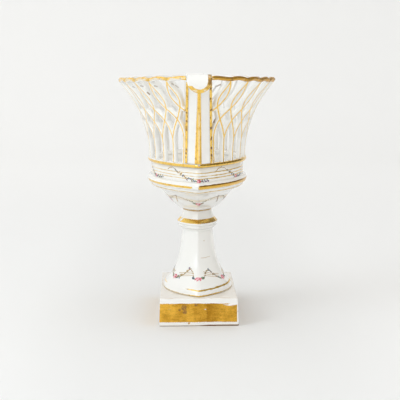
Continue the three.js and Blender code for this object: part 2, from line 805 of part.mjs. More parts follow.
// The scroll's root, which repeats the head of the post
function scrollRoot(plan, height) {
  const outline = (out) =>
    scrollStations.map((share) => {
      const line = grown(plan, out);
      const angle = -angleAt(line, Math.abs(share) * scrollHalfWidth);
      const [x, y] = planPoint(line, share < 0 ? -1 : 1, angle);
      return new THREE.Vector3(x, y, height);
    });
  const face = outline(SCROLL_THICKNESS / 2);
  const back = outline(-SCROLL_THICKNESS / 2);
  return face.concat(back.reverse());
}

// One section of the roll, square to its path: bend is how far its edges lie behind its middle
function scrollRing(place, turn, halfWidth, bend) {
  const outline = (out) =>
    scrollStations.map((share) => {
      const y = place.x + Math.cos(turn) * out - bend * Math.abs(share);
      const z = place.y - Math.sin(turn) * out;
      return new THREE.Vector3(share * halfWidth, -y, z);
    });
  const face = outline(SCROLL_THICKNESS / 2);
  const back = outline(-SCROLL_THICKNESS / 2);
  return face.concat(back.reverse());
}

// Tie rod and fittings, from the plinth's underside down and from the bowl's floor up
const plinthCeiling = PLINTH_HEIGHT - PLINTH_TOP_THICKNESS;
const bottomPadFoot = plinthCeiling - JOINT_GAP - PAD_THICKNESS;
const bottomWasherFoot = bottomPadFoot - JOINT_GAP - WASHER_THICKNESS;
const bottomNutFoot = bottomWasherFoot - JOINT_GAP - NUT_HEIGHT;
const rodFoot = bottomNutFoot - ROD_PROJECTION;
const topPadFoot = bowlFloor + JOINT_GAP;
const topWasherFoot = topPadFoot + PAD_THICKNESS + JOINT_GAP;
const capNutFoot = topWasherFoot + WASHER_THICKNESS + JOINT_GAP;
const rodLength = capNutFoot + CAP_NUT_THREAD_DEPTH - THREAD_CLEARANCE - rodFoot;

function rodGeometry() {
  const chamfer = ROD_RADIUS / 4;
  return turned([
    [0, 0],
    [ROD_RADIUS - chamfer, 0],
    [ROD_RADIUS, chamfer],
    [ROD_RADIUS, rodLength - chamfer],
    [ROD_RADIUS - chamfer, rodLength],
    [0, rodLength],
  ]);
}

function capNutGeometry() {
  const bore = ROD_RADIUS + THREAD_CLEARANCE;
  const outline = [
    [0, CAP_NUT_THREAD_DEPTH],
    [bore, CAP_NUT_THREAD_DEPTH],
    [bore, 0],
    [CAP_NUT_RADIUS, 0],
  ];
  for (let i = 0; i < DOME_STEPS; i++) {
    const turn = (Math.PI / 2) * (i / DOME_STEPS);
    outline.push([
      CAP_NUT_RADIUS * Math.cos(turn),
      CAP_NUT_SKIRT + CAP_NUT_DOME * Math.sin(turn),
    ]);
  }
  outline.push([0, CAP_NUT_SKIRT + CAP_NUT_DOME]);
  return turned(outline);
}

function nutGeometry() {
  const corner = NUT_ACROSS_FLATS / Math.sqrt(3);
  const outline = new THREE.Shape();
  for (let i = 0; i < 6; i++) {
    const turn = (Math.PI / 3) * i;
    const x = corner * Math.cos(turn);
    const y = corner * Math.sin(turn);
    if (i === 0) outline.moveTo(x, y);
    else outline.lineTo(x, y);
  }
  outline.closePath();
  const bore = new THREE.Path();
  bore.absarc(0, 0, ROD_RADIUS + THREAD_CLEARANCE, 0, 2 * Math.PI, true);
  outline.holes.push(bore);
  return new THREE.ExtrudeGeometry(outline, {
    depth: NUT_HEIGHT,
    bevelEnabled: false,
    curveSegments: ROUND_STEPS / 2,
  });
}

// Assembly
function lowerMouldingGeometry() {
  const seat = grown(bandPlan, JOINT_GAP);
  return mouldingGeometry(
    seat,
    grown(seat, LOWER_MOULDING_FILLET),
    LOWER_MOULDING_HEIGHT,
    LOWER_MOULDING_DEPTH,
  );
}

function upperMouldingGeometry() {
  const half = UPPER_MOULDING_DEPTH / 2;
  return mouldingGeometry(
    grown(bandPlan, -BOWL_WALL - UPPER_MOULDING_INSIDE),
    grown(bandPlan, half),
    UPPER_MOULDING_HEIGHT,
    half,
  );
}

const stand = new THREE.Group();
stand.add(
  piece("plinth", plinthGeometry(), porcelain),
  piece("pedestal", pedestalGeometry(), porcelain),
  piece("knop_ring", knopGeometry(), porcelain),
);

const lowerMouldingFoot = cupTop + LOWER_MOULDING_LIFT;
const vessel = new THREE.Group();
vessel.add(
  piece("bowl", bowlGeometry(), porcelain),
  piece("lower_moulding", lowerMouldingGeometry(), gilding, lowerMouldingFoot),
  piece("upper_moulding", upperMouldingGeometry(), gilding, upperMouldingFoot),
);

// The basket's left side and back end are its right side and front end, turned half round
const basket = new THREE.Group();
basket.position.z = wallFoot;
for (const [side, end, turn] of [
  ["right", "front", 0],
  ["left", "back", Math.PI],
])
  basket.add(
    piece("lattice_" + side, latticeGeometry(), porcelain, 0, turn),
    piece("rim_" + side, rimGeometry(), gilding, 0, turn),
    piece("post_" + end, postGeometry(), porcelain, 0, turn),
    piece("ridge_" + end, ridgeGeometry(), gilding, 0, turn),
    piece("scroll_" + end, scrollGeometry(), porcelain, 0, turn),
  );

const hole = ROD_RADIUS + PAD_CLEARANCE;
const washer = washerGeometry(WASHER_RADIUS, hole, WASHER_THICKNESS);
const pad = washerGeometry(PAD_RADIUS, hole, PAD_THICKNESS);
const fixing = new THREE.Group();
fixing.add(
  piece("tie_rod", rodGeometry(), steel, rodFoot),
  piece("cap_nut", capNutGeometry(), brass, capNutFoot),
  piece("top_washer", washer, brass, topWasherFoot),
  piece("top_pad", pad, leather, topPadFoot),
  piece("bottom_pad", pad, leather, bottomPadFoot),
  piece("bottom_washer", washer, steel, bottomWasherFoot),
  piece("bottom_nut", nutGeometry(), steel, bottomNutFoot),
);

const fruitBowl = new THREE.Group();
fruitBowl.name = "fruit_bowl";
fruitBowl.add(stand, vessel, basket, fixing);

export default fruitBowl;
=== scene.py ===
import functools
import math
import operator
import random

import bmesh
import bpy
import numpy as np
from mathutils import Matrix, Vector, kdtree
from mathutils.bvhtree import BVHTree


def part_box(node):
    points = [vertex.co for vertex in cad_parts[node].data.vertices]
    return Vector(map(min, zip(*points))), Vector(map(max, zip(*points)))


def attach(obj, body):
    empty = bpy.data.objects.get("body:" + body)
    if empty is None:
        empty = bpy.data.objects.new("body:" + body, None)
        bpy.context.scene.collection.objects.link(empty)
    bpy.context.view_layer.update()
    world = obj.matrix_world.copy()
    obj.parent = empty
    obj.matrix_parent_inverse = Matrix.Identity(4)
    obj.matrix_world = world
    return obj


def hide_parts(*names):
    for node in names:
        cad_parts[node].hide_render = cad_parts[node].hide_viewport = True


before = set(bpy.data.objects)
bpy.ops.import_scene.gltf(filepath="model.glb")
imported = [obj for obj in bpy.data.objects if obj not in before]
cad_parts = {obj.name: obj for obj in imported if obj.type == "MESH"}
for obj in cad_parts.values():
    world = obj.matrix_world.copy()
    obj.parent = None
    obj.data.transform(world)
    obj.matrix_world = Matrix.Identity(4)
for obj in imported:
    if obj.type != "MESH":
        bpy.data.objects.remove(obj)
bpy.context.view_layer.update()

MM = 0.001
random.seed(7)

# Camera, as the photograph was taken
CAMERA_PLACE = Vector((-18.8, -1114.3, 264.1)) * MM
CAMERA_TURN = math.radians(1.12)
CAMERA_PITCH = math.radians(7.22)
CAMERA_ROLL = math.radians(-0.26)
FOCAL_LENGTH = 92.6
SENSOR = 36.0

# Stage and light
FLOOR_RADIUS = 3.2
FLOOR_STEPS = 96
FLOOR_CORNER = 1.2
CORNER_STEPS = 12
WALL_TOP = 3.0
AIM = Vector((0, 0, 0.15))
SKY_COLOUR = (1.0, 0.992, 0.975, 1)
SKY_STRENGTH = 1.05
KEY_COLOUR = (0.82, 0.92, 1.0)
KEY_POWER = 9.1
FILL_POWER = 3.2
TOP_POWER = 0.7
RIGHT_POWER = 1.8
CARD_TONE = (0.21, 0.19, 0.16)
# Floor tones: painted shade round the bowl, and painted light strongest far off on the left
PAINTED_SHADE_UNDER = ((0.785, 0.785, 0.78), (0.80, 0.80, 0.795))
PAPER_NEAR = (0.845, 0.845, 0.84)
PAINTED_LIGHT_FAR = ((0.965, 0.965, 0.96), (0.87, 0.87, 0.865))

# Openwork wall, as its solids have it. A plan is a pointed oval: (half width, half length).
CELLS = 10
WALL_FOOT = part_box("lattice_right")[0].z
WALL_HEIGHT = 79.8 * MM
WALL_FOOT_PLAN = (50.6 * MM, 110 * MM)
RIM_PLAN = (81.2 * MM, 141 * MM)
RIM_RISE = 2.2 * MM
RIM_ARCH = 1.9 * MM
FLARE_POWER = 2.2
POST_FOOT_HALF_WIDTH = 13.6 * MM
POST_TOP_HALF_WIDTH = 12.2 * MM
FOOT_CROWDING = 0.31
PATTERN_SAG = 0.07
CORNER_OPENING = 0.147
CORNER_LEVEL = 0.5
FORK_LEVEL = 0.3
FORK_POWER = 1.6
MEETING_LEVEL = 0.69
LANCET_BULGE = 0.27
STRAND_BACK = 6.3 * MM
STRAND_FACE = 4.9 * MM
STRAND_THICKNESS = 3.7 * MM
STRAND_STEPS = 30
BAR_STEPS = 6
STRAND_SINK = 0.6 * MM
LATTICE_GRAIN = 0.68 * MM

# How the glaze rounds the solids
WELD = 0.002 * MM
QUAD_FACE_ANGLE = math.radians(40)
QUAD_SHAPE_ANGLE = math.radians(60)
GLAZE_THICKNESS = 0.18 * MM
EDGE_ANGLE = math.radians(32)
EDGE_CREASE = 0.72
FOOT_CREASE = 0.85
SMOOTHING_LEVELS = 2
FLAT_ANGLE = math.radians(2)
PLINTH_EDGE = 0.35 * MM
PLINTH_EDGE_ANGLE = math.radians(20)
SHARP_ANGLE = math.radians(35)

# Fillets of slip at two joints: the plan, and (offset from it, height) in millimetres
STEM_LUTING = ((16.4 * MM, 28 * MM), (
    (-0.8, 92.2), (0.12, 92.2), (0.26, 93.0), (0.62, 93.7),
    (1.3, 94.25), (2.3, 94.6), (2.0, 95.2), (-0.8, 95.2),
))
NECK_LUTING = ((17.5 * MM, 28.2 * MM), (
    (-0.8, 105.0), (0.45, 105.3), (0.32, 105.75), (0.1, 106.6), (-0.8, 107.0),
))
LUTING_OVERRUN = 0.1
LUTING_STEPS = 72
LUTING_WELD = 0.02 * MM

# Plans that the painted decoration follows
BAND_PLAN = (49.8 * MM, 107 * MM)
CUP_PLAN = (37 * MM, 80 * MM)
STEM_PLAN = (26 * MM, 48 * MM)

# Gilding and marks, in millimetres. A band is a pair (low, high), widths are a pair (left, right),
# a change is a pair that says where it begins and where it is complete, and a mark is a place
# with its radius.
BAND_LINES = (162.5, 159.3, 156.6)
BAND_LINE_WIDTHS = (0.62, 1.05)
BAND_LINES_WIDEN = (-12, 22)
CUP_TOP_LINE = 143.1
CUP_TOP_LINE_WIDTH = 0.75
CUP_FOOT_LINE = 114.9
CUP_FOOT_LINE_WIDTH = 1.95
NECK_BROWNS = (119, 117)
GLOW_RISES = (148, 165)
LOWER_MOULDING_LEFT = (147.3, 149.55)
LOWER_MOULDING_RIGHT = (146.8, 150.8)
LOWER_MOULDING_DEEPENS = (148.3, 149.6)
TIP_BARE = (2.32, 3.77)
TIP_BARE_SHIFT = 3.7
UPPER_MOULDING_GILDING = 171.2
UPPER_MOULDING_RIGHT = 8
UPPER_MOULDING_CLIMB = 2
MOULDING_TIPS = (((0, -110.6, 171.2), 1.5), ((0, 110.6, 171.2), 1.5))
KNOP_GILDING = (101.5, 105.4)
KNOP_HIGHLIGHT = ((-17.2, -12.2, 103.6), 3.7)
FOOT_EDGE_LINE = 30.0
FOOT_PLATE_LINE = 35.3
FOOT_LINE_WIDTH = 1.15
FOOT_PLATE_WIDTHS = (FOOT_LINE_WIDTH, FOOT_LINE_WIDTH * 1.35)
FOOT_PLATE_WIDENS = (-2, 4)
FOOT_PLATE_BEGINS = (-15, -8)
FOOT_PLATE_BACK = (-20, -8)
FOOT_EDGE_FRESH = ((-14, -3), (27, 18))
PANEL_FOOT = 4.1
PANEL_TOP = 24.0
PANEL_END = (39.7, 39.4)
PANEL_NEAR_FACE = (-70.9, -70.0)
PANEL_WORN_CORNER = ((16, 33), (19.3, 23.4))
PANEL_STROKE = ((7.6, 8.4), (24, 7.6))
PANEL_BLOTS = (
    ((-15.5, -71, 19.5), 3.8),
    ((-14.6, -71, 15.0), 3.0),
    ((-3.0, -71, 22.6), 2.2),
    ((-20, -71, 17), 1.6),
    ((41.4, -71.1, 15.2), 1.7),
)
PANEL_DRIPS = (((-10.4, -71.5, 3.1), 1.5), ((41.4, -71.1, 15.2), 1.5))
BASE_LINE_WIDTHS = (0.93, 1.68)
BASE_LINE_WIDENS = (-2, 12)
BASE_LINE_BROWNS = (3.0, 2.25)
PLINTH_TOP = (28.6, 29.1)
PLINTH_SIDE_BORDER = (34, 39.5)
PLINTH_END_BORDER = (62, 69.5)
CRACK_HEIGHT = 64.6
CRACK_SPAN = ((2.5, 3.5), (13.5, 12.5))
STEM_SPECKS = (
    ((6.6, -25.2, 82.1), 0.9),
    ((-9.0, -30.4, 58.0), 0.4),
    ((11.8, 22.1, 74.0), 0.6),
    ((-15.5, 14.0, 66.0), 0.5),
)
STRAND_FEET = (176.5, 174)
# Painted shade from the lattice's gaps: first end, last end, radius and how dark
OPENWORK_GAP_SHADE = (
    ((-50.6, -80.1, 241.5), (-48.6, -80.3, 239.7), 1.3, 0.85),
    ((-57.4, -79.2, 248.3), (-55.2, -79.0, 247.5), 1.0, 0.45),
    ((-43.0, -100.4, 248.5), (-40.6, -99.7, 247.8), 1.0, 0.5),
    ((-25.8, -118.8, 250.8), (-24.2, -117.6, 249.8), 1.1, 0.5),
    ((-23.0, 113.9, 245.5), (-20.3, 114.5, 243.2), 1.3, 0.5),
    ((-66.2, -55.9, 247.2), (-64.3, -56.2, 246.2), 0.9, 0.4),
    ((24.8, 110.8, 244.1), (29.4, 108.4, 246.4), 1.7, 0.7),
    ((35.1, -100.0, 239.3), (37.5, -100.0, 241.7), 0.9, 0.6),
    ((15.2, -101.9, 212.9), (16.6, -101.0, 216.4), 1.6, 0.9),
    ((-51.3, -43.5, 211.8), (-51.1, -43.2, 210.8), 1.2, 0.6),
)
POST_BORDER = 2.2
SPINE_FOOT_HALF_WIDTH = 3.4
SPINE_TAPER = 2.4
SPINE_SHIFT = 0.9
RIDGE_CREST = (0.62, 0.25)
RIDGE_WORN_AND_HIGHLIT_BELOW = (236, 214)
RIDGE_NARROWS = (214, 240)
RIDGE_TOP_GILDING = (1.5, 1.8)
BORDER_CHIPS = (
    ((-11.7, -115.6, 222.9), 1.5),
    ((-11.9, -111.7, 214.4), 1.7),
    ((-12.0, -108.3, 206.0), 1.8),
    ((-12.5, -104.0, 186.2), 1.4),
    ((-12.6, -103.4, 182.4), 1.7),
    ((11.6, -116.9, 225.4), 1.5),
    ((12.0, -108.8, 207.5), 1.8),
    ((12.4, -103.9, 187.6), 1.8),
    ((12.6, -103.0, 180.4), 1.7),
)
LIP_EDGE_ANGLE = math.radians(50)
LIP_GILDING = 3.5
LIP_HIGHLIGHT_TOP = 249.5
LIP_ARM = ((3.2, 5.2), (245.2, 247.2))
LIP_ARM_TOP = ((6, 9), (248.5, 251))
UNGILDED = -3

# Garlands, in millimetres: where the roses sit along their plans, from the front corner round to
# the right. The lines round each rose of the band are (along, up) from it: arch, fall, chain, tail.
BAND_ROSES = (0, 67.8, 158, 243.6, 322, 407.6)
BAND_ROSE_HEIGHT = 154.5
BAND_BROAD = (
    ((-48.5, 9.4), (-45, 11.4), (-40, 12.0), (-35, 10.6), (-30, 7.9)),
    ((-30, 7.9), (-24, 5.4), (-18, 2.1)),
    ((-18, 2.1), (-12.3, 1.4), (-5, 1.0)),
    ((4, 0), (9, 0.6), (14, 1.2)),
)
BAND_STEEP = (
    ((-43, 8.4), (-39, 11.0), (-33, 12.0), (-27, 10.8), (-22, 7.6)),
    ((-22, 7.6), (-15, 5.2), (-8, 2.4)),
    ((-8, 2.4), (-5.5, 1.4), (-3.5, 0.8)),
    ((4, 0), (12, 0.7), (21, 1.5)),
)
CUP_ROSES = (0, 74, 108, 182, 256, 290)
CUP_NODES = (32.5, 91, 145.2, 214.4, 273, 327.1)
CUP_TASSEL_LEANS = (1, 0, -1, 1, 0, -1)
CUP_ROSE_HEIGHT = 126.2
CUP_NODE_RISE = 7.8
CUP_RIBBON_SAG = 2.6
STEM_ROSES = (0, 39, 75.5, 113.8, 152, 191.3)
STEM_ROSE_DROPS = (0, 3.3, 1.2, 0.4, 2.2, 1.6)
STEM_ROSE_HEIGHT = 44.9
STEM_LEFT_LOOP = ((-6.4, 1.2), (-7.4, 4.2), (-9.5, 7.2), (-13.5, 8.6))
STEM_RIGHT_LOOP = ((7.6, 0.6), (9.8, 3.2), (12.0, 6.6), (16.0, 7.2))
# Along and up from one rose, then short of the other and up from it
STEM_RIBBONS = ((7.8, 6.0, 5.0, 4.2), (7.6, 4.3, 6.5, 2.8), (7.4, 2.6, 9.5, 1.6))
DAB_THICKNESS = 0.13
STROKE_THICKNESS = 0.14

PETAL_TINTS = (
    ("petal_pink", (0.78, 0.20, 0.27)),
    ("petal_red", (0.52, 0.03, 0.06)),
    ("petal_pale", (0.93, 0.76, 0.74)),
    ("leaf_blue", (0.06, 0.09, 0.15)),
    ("leaf_green", (0.11, 0.19, 0.09)),
    ("leaf_olive", (0.21, 0.17, 0.05)),
    ("leaf_grey", (0.20, 0.25, 0.31)),
    ("leaf_violet", (0.17, 0.09, 0.17)),
    ("ribbon_beige", (0.50, 0.32, 0.12)),
    ("ribbon_pale", (0.62, 0.44, 0.20)),
    ("stalk_brown", (0.24, 0.13, 0.05)),
    ("ribbon_wash", (0.78, 0.68, 0.50)),
)
PINK, RED, PALE, BLUE, GREEN, OLIVE, GREY, VIOLET, BEIGE, CREAM, BROWN, WASH = range(12)
LEAF_TINTS = (BLUE, GREEN, OLIVE, GREY, VIOLET)
# How far below the first, width, tint
CUP_RIBBONS = ((0, 0.5, CREAM), (1.3, 3.0, WASH), (2.6, 0.5, CREAM))

WHITE = (0.88, 0.865, 0.83)
COOL_WHITE = (0.85, 0.845, 0.815)
GOLD = (0.95, 0.635, 0.145)
DEEP_GOLD = (0.68, 0.37, 0.055)
LINE_GOLD = (0.74, 0.52, 0.17)
LINE_DEEP = (0.42, 0.24, 0.06)
PANEL_GOLD = (0.96, 0.55, 0.075)
PANEL_DEEP = (0.46, 0.215, 0.014)
SPOT_BROWN = (0.16, 0.065, 0.02)
GAP_SHADE_BROWN = (0.20, 0.11, 0.05)
STAIN = (0.62, 0.50, 0.36)
GLOW = (1.0, 0.96, 0.86)
BRASS = ((0.72, 0.50, 0.20), (0.42, 0.27, 0.10))
STEEL = ((0.55, 0.55, 0.54), (0.36, 0.34, 0.31))
LEATHER = ((0.10, 0.045, 0.02), (0.20, 0.10, 0.05))


# Plans of pointed ovals
def navette(half_width, half_length):
    """The radius of the two arcs, and how far each centre lies from the middle."""
    radius = (half_length**2 + half_width**2) / (2 * half_width)
    return radius, radius - half_width


def angle_at(plan, offset):
    radius, shift = plan
    return math.acos(min((offset + shift) / radius, 1))


def plan_point(plan, angle):
    radius, shift = plan
    return radius * math.cos(angle) - shift, radius * math.sin(angle)


# Openwork pattern: level 0 is the wall's foot and level 1 its rim, and cells count along the wall
def wall_plan(level):
    flare = max(level, 0) ** FLARE_POWER
    return navette(*(foot + (rim - foot) * flare for foot, rim in zip(WALL_FOOT_PLAN, RIM_PLAN)))


def post_half_width(level):
    return POST_FOOT_HALF_WIDTH + (POST_TOP_HALF_WIDTH - POST_FOOT_HALF_WIDTH) * level


def smooth_step(value, low, high):
    share = min(max((value - low) / (high - low), 0), 1)
    return share * share * (3 - 2 * share)


def cell_angle(share, level):
    border = angle_at(wall_plan(level), post_half_width(level))
    line = border * (1 - CORNER_OPENING * smooth_step(level, CORNER_LEVEL, 1))
    crowding = FOOT_CROWDING * (1 - level**2)
    return line * share * (1 + crowding * (1 - min(abs(share), 1)))


def wall_point(cell, level):
    share = 2 * cell / CELLS - 1
    within = min(abs(share), 1)
    lowered = level - PATTERN_SAG * (1 - within**2) * math.sin(math.pi * level)
    x, y = plan_point(wall_plan(lowered), cell_angle(share, lowered))
    height = WALL_FOOT + lowered * (WALL_HEIGHT + RIM_RISE * min(share**2, 1))
    return Vector((x, y, height))


def wall_normal(cell, level):
    step = 0.01
    along = wall_point(cell + step, level) - wall_point(cell - step, level)
    up = wall_point(cell, min(level + step, 1)) - wall_point(cell, max(level - step, 0))
    return along.cross(up).normalized()


def lean_at(level):
    """How far a strand has leant over, in cells."""
    if level <= FORK_LEVEL:
        return 0
    if level < MEETING_LEVEL:
        return ((level - FORK_LEVEL) / (MEETING_LEVEL - FORK_LEVEL)) ** FORK_POWER
    share = (level - MEETING_LEVEL) / (1 - MEETING_LEVEL)
    return 1 + LANCET_BULGE * math.sin(math.pi * share) * math.sqrt(1 - share)


def strand_routes():
    """Every strand of the right wall, as places (cell, level) from its foot to the rim."""
    bar = [-STRAND_SINK / WALL_HEIGHT] + [FORK_LEVEL * i / BAR_STEPS for i in range(1, BAR_STEPS)]
    upper = [FORK_LEVEL + (1 - FORK_LEVEL) * i / STRAND_STEPS for i in range(STRAND_STEPS + 1)]
    half = upper[STRAND_STEPS // 2:]
    routes = []
    for cell in range(CELLS + 1):
        leans = [lean for lean in (1, -1) if 0 <= cell + lean <= CELLS]
        for lean in leans:
            levels = bar + upper if lean == leans[0] else upper
            routes.append([(cell + lean * lean_at(level), level) for level in levels])
    routes.append([(-1 + lean_at(level), level) for level in half])
    routes.append([(CELLS + 1 - lean_at(level), level) for level in half])
    return routes


# Objects and meshes
def adjusted(thing, **settings):
    for name, value in settings.items():
        setattr(thing, name, value)
    return thing


def placed(name, data):
    thing = bpy.data.objects.new(name, data)
    bpy.context.scene.collection.objects.link(thing)
    return thing


def mesh_of(name, body):
    mesh = bpy.data.meshes.new(name)
    body.to_mesh(mesh)
    body.free()
    mesh.shade_smooth()
    return mesh


def piece_of(name, body):
    """Makes a finished bmesh into an object."""
    return placed(name, mesh_of(name, body))


def pour(part, body):
    """Adds one bmesh to another."""
    mesh = mesh_of("part", part)
    body.from_mesh(mesh)
    bpy.data.meshes.remove(mesh)


def settle(piece):
    """Bakes the modifiers into the piece's mesh, so that it can be painted point by point."""
    graph = bpy.context.evaluated_depsgraph_get()
    baked = bpy.data.meshes.new_from_object(piece.evaluated_get(graph))
    piece.modifiers.clear()
    old = piece.data
    piece.data = baked
    bpy.data.meshes.remove(old)
    baked.shade_smooth()


def stand_for(piece, node):
    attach(piece, "root")
    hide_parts(node)
    return piece


def copy_of(node):
    """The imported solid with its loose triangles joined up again."""
    solid = bmesh.new()
    solid.from_mesh(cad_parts[node].data)
    bmesh.ops.remove_doubles(solid, verts=solid.verts, dist=WELD)
    return solid


def glazed_copy(node, crease=EDGE_CREASE):
    """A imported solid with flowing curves: quads, creased where the form has an edge, subdivided."""
    solid = copy_of(node)
    bmesh.ops.join_triangles(
        solid, faces=solid.faces,
        angle_face_threshold=QUAD_FACE_ANGLE, angle_shape_threshold=QUAD_SHAPE_ANGLE,
    )
    creases = solid.edges.layers.float.new("crease_edge")
    for edge in solid.edges:
        if edge.calc_face_angle(0) > EDGE_ANGLE:
            edge[creases] = crease
    piece = piece_of(node + "_glazed", solid)
    glaze, curves = (piece.modifiers.new("form", kind) for kind in ("DISPLACE", "SUBSURF"))
    adjusted(glaze, strength=GLAZE_THICKNESS, mid_level=0)
    adjusted(curves, levels=SMOOTHING_LEVELS, render_levels=SMOOTHING_LEVELS)
    settle(piece)
    return stand_for(piece, node)


def crisp_copy(node):
    """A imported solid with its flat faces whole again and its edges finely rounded."""
    solid = copy_of(node)
    bmesh.ops.dissolve_limit(solid, angle_limit=FLAT_ANGLE, verts=solid.verts, edges=solid.edges)
    sharp = [edge for edge in solid.edges if edge.calc_face_angle(0) > PLINTH_EDGE_ANGLE]
    bmesh.ops.bevel(
        solid, geom=sharp, offset=PLINTH_EDGE, affect="EDGES", segments=3, profile=0.5,
        material=-1, clamp_overlap=True,
    )
    piece = piece_of(node + "_glazed", solid)
    piece.data.set_sharp_from_angle(angle=SHARP_ANGLE)
    return stand_for(piece, node)


def points_in(geometry):
    return [part for part in geometry if isinstance(part, bmesh.types.BMVert)]


def everything(body):
    return body.verts[:] + body.edges[:] + body.faces[:]


def spin(body, points, edges, angle, steps, centre=(0, 0, 0), whole=False):
    """Turns an outline about an upright axis."""
    bmesh.ops.spin(
        body, geom=points + edges, axis=(0, 0, 1), cent=centre, angle=angle, steps=steps,
        use_merge=whole,
    )


def luting(name, plan, profile):
    """A thin fillet of fired slip round a joint."""
    radius, shift = navette(*plan)
    tip = angle_at((radius, shift), 0) + LUTING_OVERRUN
    side = bmesh.new()
    points = []
    for offset, height in profile:
        x, y = plan_point((radius + offset * MM, shift), -tip)
        points.append(side.verts.new((x, y, height * MM)))
    edges = [side.edges.new(pair) for pair in zip(points, points[1:] + points[:1])]
    spin(side, points, edges, 2 * tip, LUTING_STEPS, (-shift, 0, 0))
    bmesh.ops.bisect_plane(
        side, geom=everything(side), dist=0.001 * MM,
        plane_co=(0, 0, 0), plane_no=(1, 0, 0), clear_inner=True,
    )
    other = bmesh.ops.duplicate(side, geom=everything(side))["geom"]
    half_turn = Matrix.Rotation(math.pi, 4, "Z")
    bmesh.ops.transform(side, matrix=half_turn, verts=points_in(other))
    bmesh.ops.remove_doubles(side, verts=side.verts, dist=LUTING_WELD)
    bmesh.ops.recalc_face_normals(side, faces=side.faces)
    piece = piece_of(name, side)
    piece.data.set_sharp_from_angle(angle=SHARP_ANGLE)
    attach(piece, "root")
    return piece


def pose(place, *directions):
    return Matrix.Translation(place) @ Matrix(directions).transposed().to_4x4()


def heading(points, i):
    """The way a row of points runs at one of them."""
    return points[min(i + 1, len(points) - 1)] - points[max(i - 1, 0)]


def trapezoid(face, back, thickness):
    half = thickness / 2
    corners = ((-face / 2, half), (face / 2, half), (back / 2, -half), (-back / 2, -half))
    return [Vector((x, y, 0)) for x, y in corners]


def sweep(body, section, frames):
    """Draws a closed section along frames, with both ends closed."""
    corners = [body.verts.new(frames[0] @ point) for point in section]
    body.faces.new(corners)
    edges = [body.edges.get((a, b)) for a, b in zip(corners, corners[1:] + corners[:1])]
    for before, after in zip(frames, frames[1:]):
        made = bmesh.ops.extrude_edge_only(body, edges=edges)["geom"]
        ahead = points_in(made)
        bmesh.ops.transform(body, matrix=after @ before.inverted(), verts=ahead)
        drawn = [part for part in made if isinstance(part, bmesh.types.BMEdge)]
        edges = [edge for edge in drawn if set(edge.verts) <= set(ahead)]
    bmesh.ops.contextual_create(body, geom=edges)
    bmesh.ops.recalc_face_normals(body, faces=body.faces)


# Lattice
def strand_frames(route):
    points = [wall_point(cell, level) for cell, level in route]
    frames = []
    for i, (cell, level) in enumerate(route):
        along = heading(points, i).normalized()
        across = along.cross(wall_normal(cell, level)).normalized()
        frames.append(pose(points[i], across, across.cross(along), along))
    return frames


def lattice(node, turn):
    """One openwork wall: strands melted together, as the glaze leaves them."""
    section = trapezoid(STRAND_FACE, STRAND_BACK, STRAND_THICKNESS)
    walls = bmesh.new()
    lines = []
    for route in strand_routes():
        frames = [Matrix.Rotation(turn, 4, "Z") @ place for place in strand_frames(route)]
        strand = bmesh.new()
        sweep(strand, section, frames)
        pour(strand, walls)
        lines.append([place @ Vector((0, STRAND_THICKNESS / 2, 0)) for place in frames])
    piece = piece_of(node + "_glazed", walls)
    melt, soften = (piece.modifiers.new("form", kind) for kind in ("REMESH", "SMOOTH"))
    adjusted(melt, mode="VOXEL", voxel_size=LATTICE_GRAIN)
    adjusted(soften, factor=0.5, iterations=3)
    settle(piece)
    paint_points(piece, "line", distances(points_of(piece), lines))
    return stand_for(piece, node)


# Where paint goes, point by point
def points_of(piece, what="co"):
    values = np.zeros(len(piece.data.vertices) * 3)
    piece.data.vertices.foreach_get(what, values)
    return values.reshape(-1, 3)


def paint_points(piece, name, values):
    layer = piece.data.attributes.new(name, "FLOAT", "POINT")
    layer.data.foreach_set("value", np.asarray(values, np.float32))


def distances(places, lines, step=0.25 * MM):
    """How far each place is from the nearest of the drawn lines, in millimetres."""
    marks = []
    for line in lines:
        for a, b in zip(line, line[1:]):
            count = max(1, math.ceil((b - a).length / step))
            marks += [a.lerp(b, i / count) for i in range(count)]
        marks.append(line[-1])
    tree = kdtree.KDTree(len(marks))
    for i, mark in enumerate(marks):
        tree.insert(mark, i)
    tree.balance()
    return np.array([tree.find(place)[2] for place in places]) / MM


def oval_offset(places, plan):
    """How far each place lies outside a pointed oval, in millimetres."""
    radius, shift = navette(*plan)
    return (np.hypot(np.abs(places[:, 0]) + shift, places[:, 1]) - radius) / MM


def facing_out(piece, plan):
    """From 1 where the surface faces away from the bowl's long axis to -1 where it faces in."""
    places = points_of(piece)
    _, shift = navette(*plan)
    out = np.stack((places[:, 0] + np.sign(places[:, 0]) * shift, places[:, 1]), 1)
    out /= np.linalg.norm(out, axis=1)[:, None]
    return (points_of(piece, "normal")[:, :2] * out).sum(1)


def mark_outside(piece):
    paint_points(piece, "outside", facing_out(piece, BAND_PLAN))
    return piece


def scallop_places(rim):
    """For each point how far it is along the rim from the nearest dip between its scallops, and how
    far above the middle of the roll, in millimetres."""
    places = points_of(rim)
    radius, shift = navette(*RIM_PLAN)
    end = cell_angle(1, 1)
    share = np.arctan2(places[:, 1], np.abs(places[:, 0]) + shift) / end
    cells = (share + 1) * CELLS / 2
    dip = np.abs(cells - np.round(cells)) * end * radius * 2 / CELLS / MM
    middle = WALL_FOOT + WALL_HEIGHT + RIM_RISE * np.minimum(share**2, 1)
    middle += RIM_ARCH * np.abs(np.sin(math.pi * cells))
    return dip, (places[:, 2] - middle) / MM


def moulding_gilt(moulding):
    """How far inside the upper moulding's gilding each point is; it climbs higher on the right."""
    places = points_of(moulding)
    share = np.clip(places[:, 0] / (UPPER_MOULDING_RIGHT * MM), 0, 1)
    top = UPPER_MOULDING_GILDING + share * UPPER_MOULDING_CLIMB
    return np.minimum(oval_offset(places, BAND_PLAN) - 0.5, top - places[:, 2] / MM)


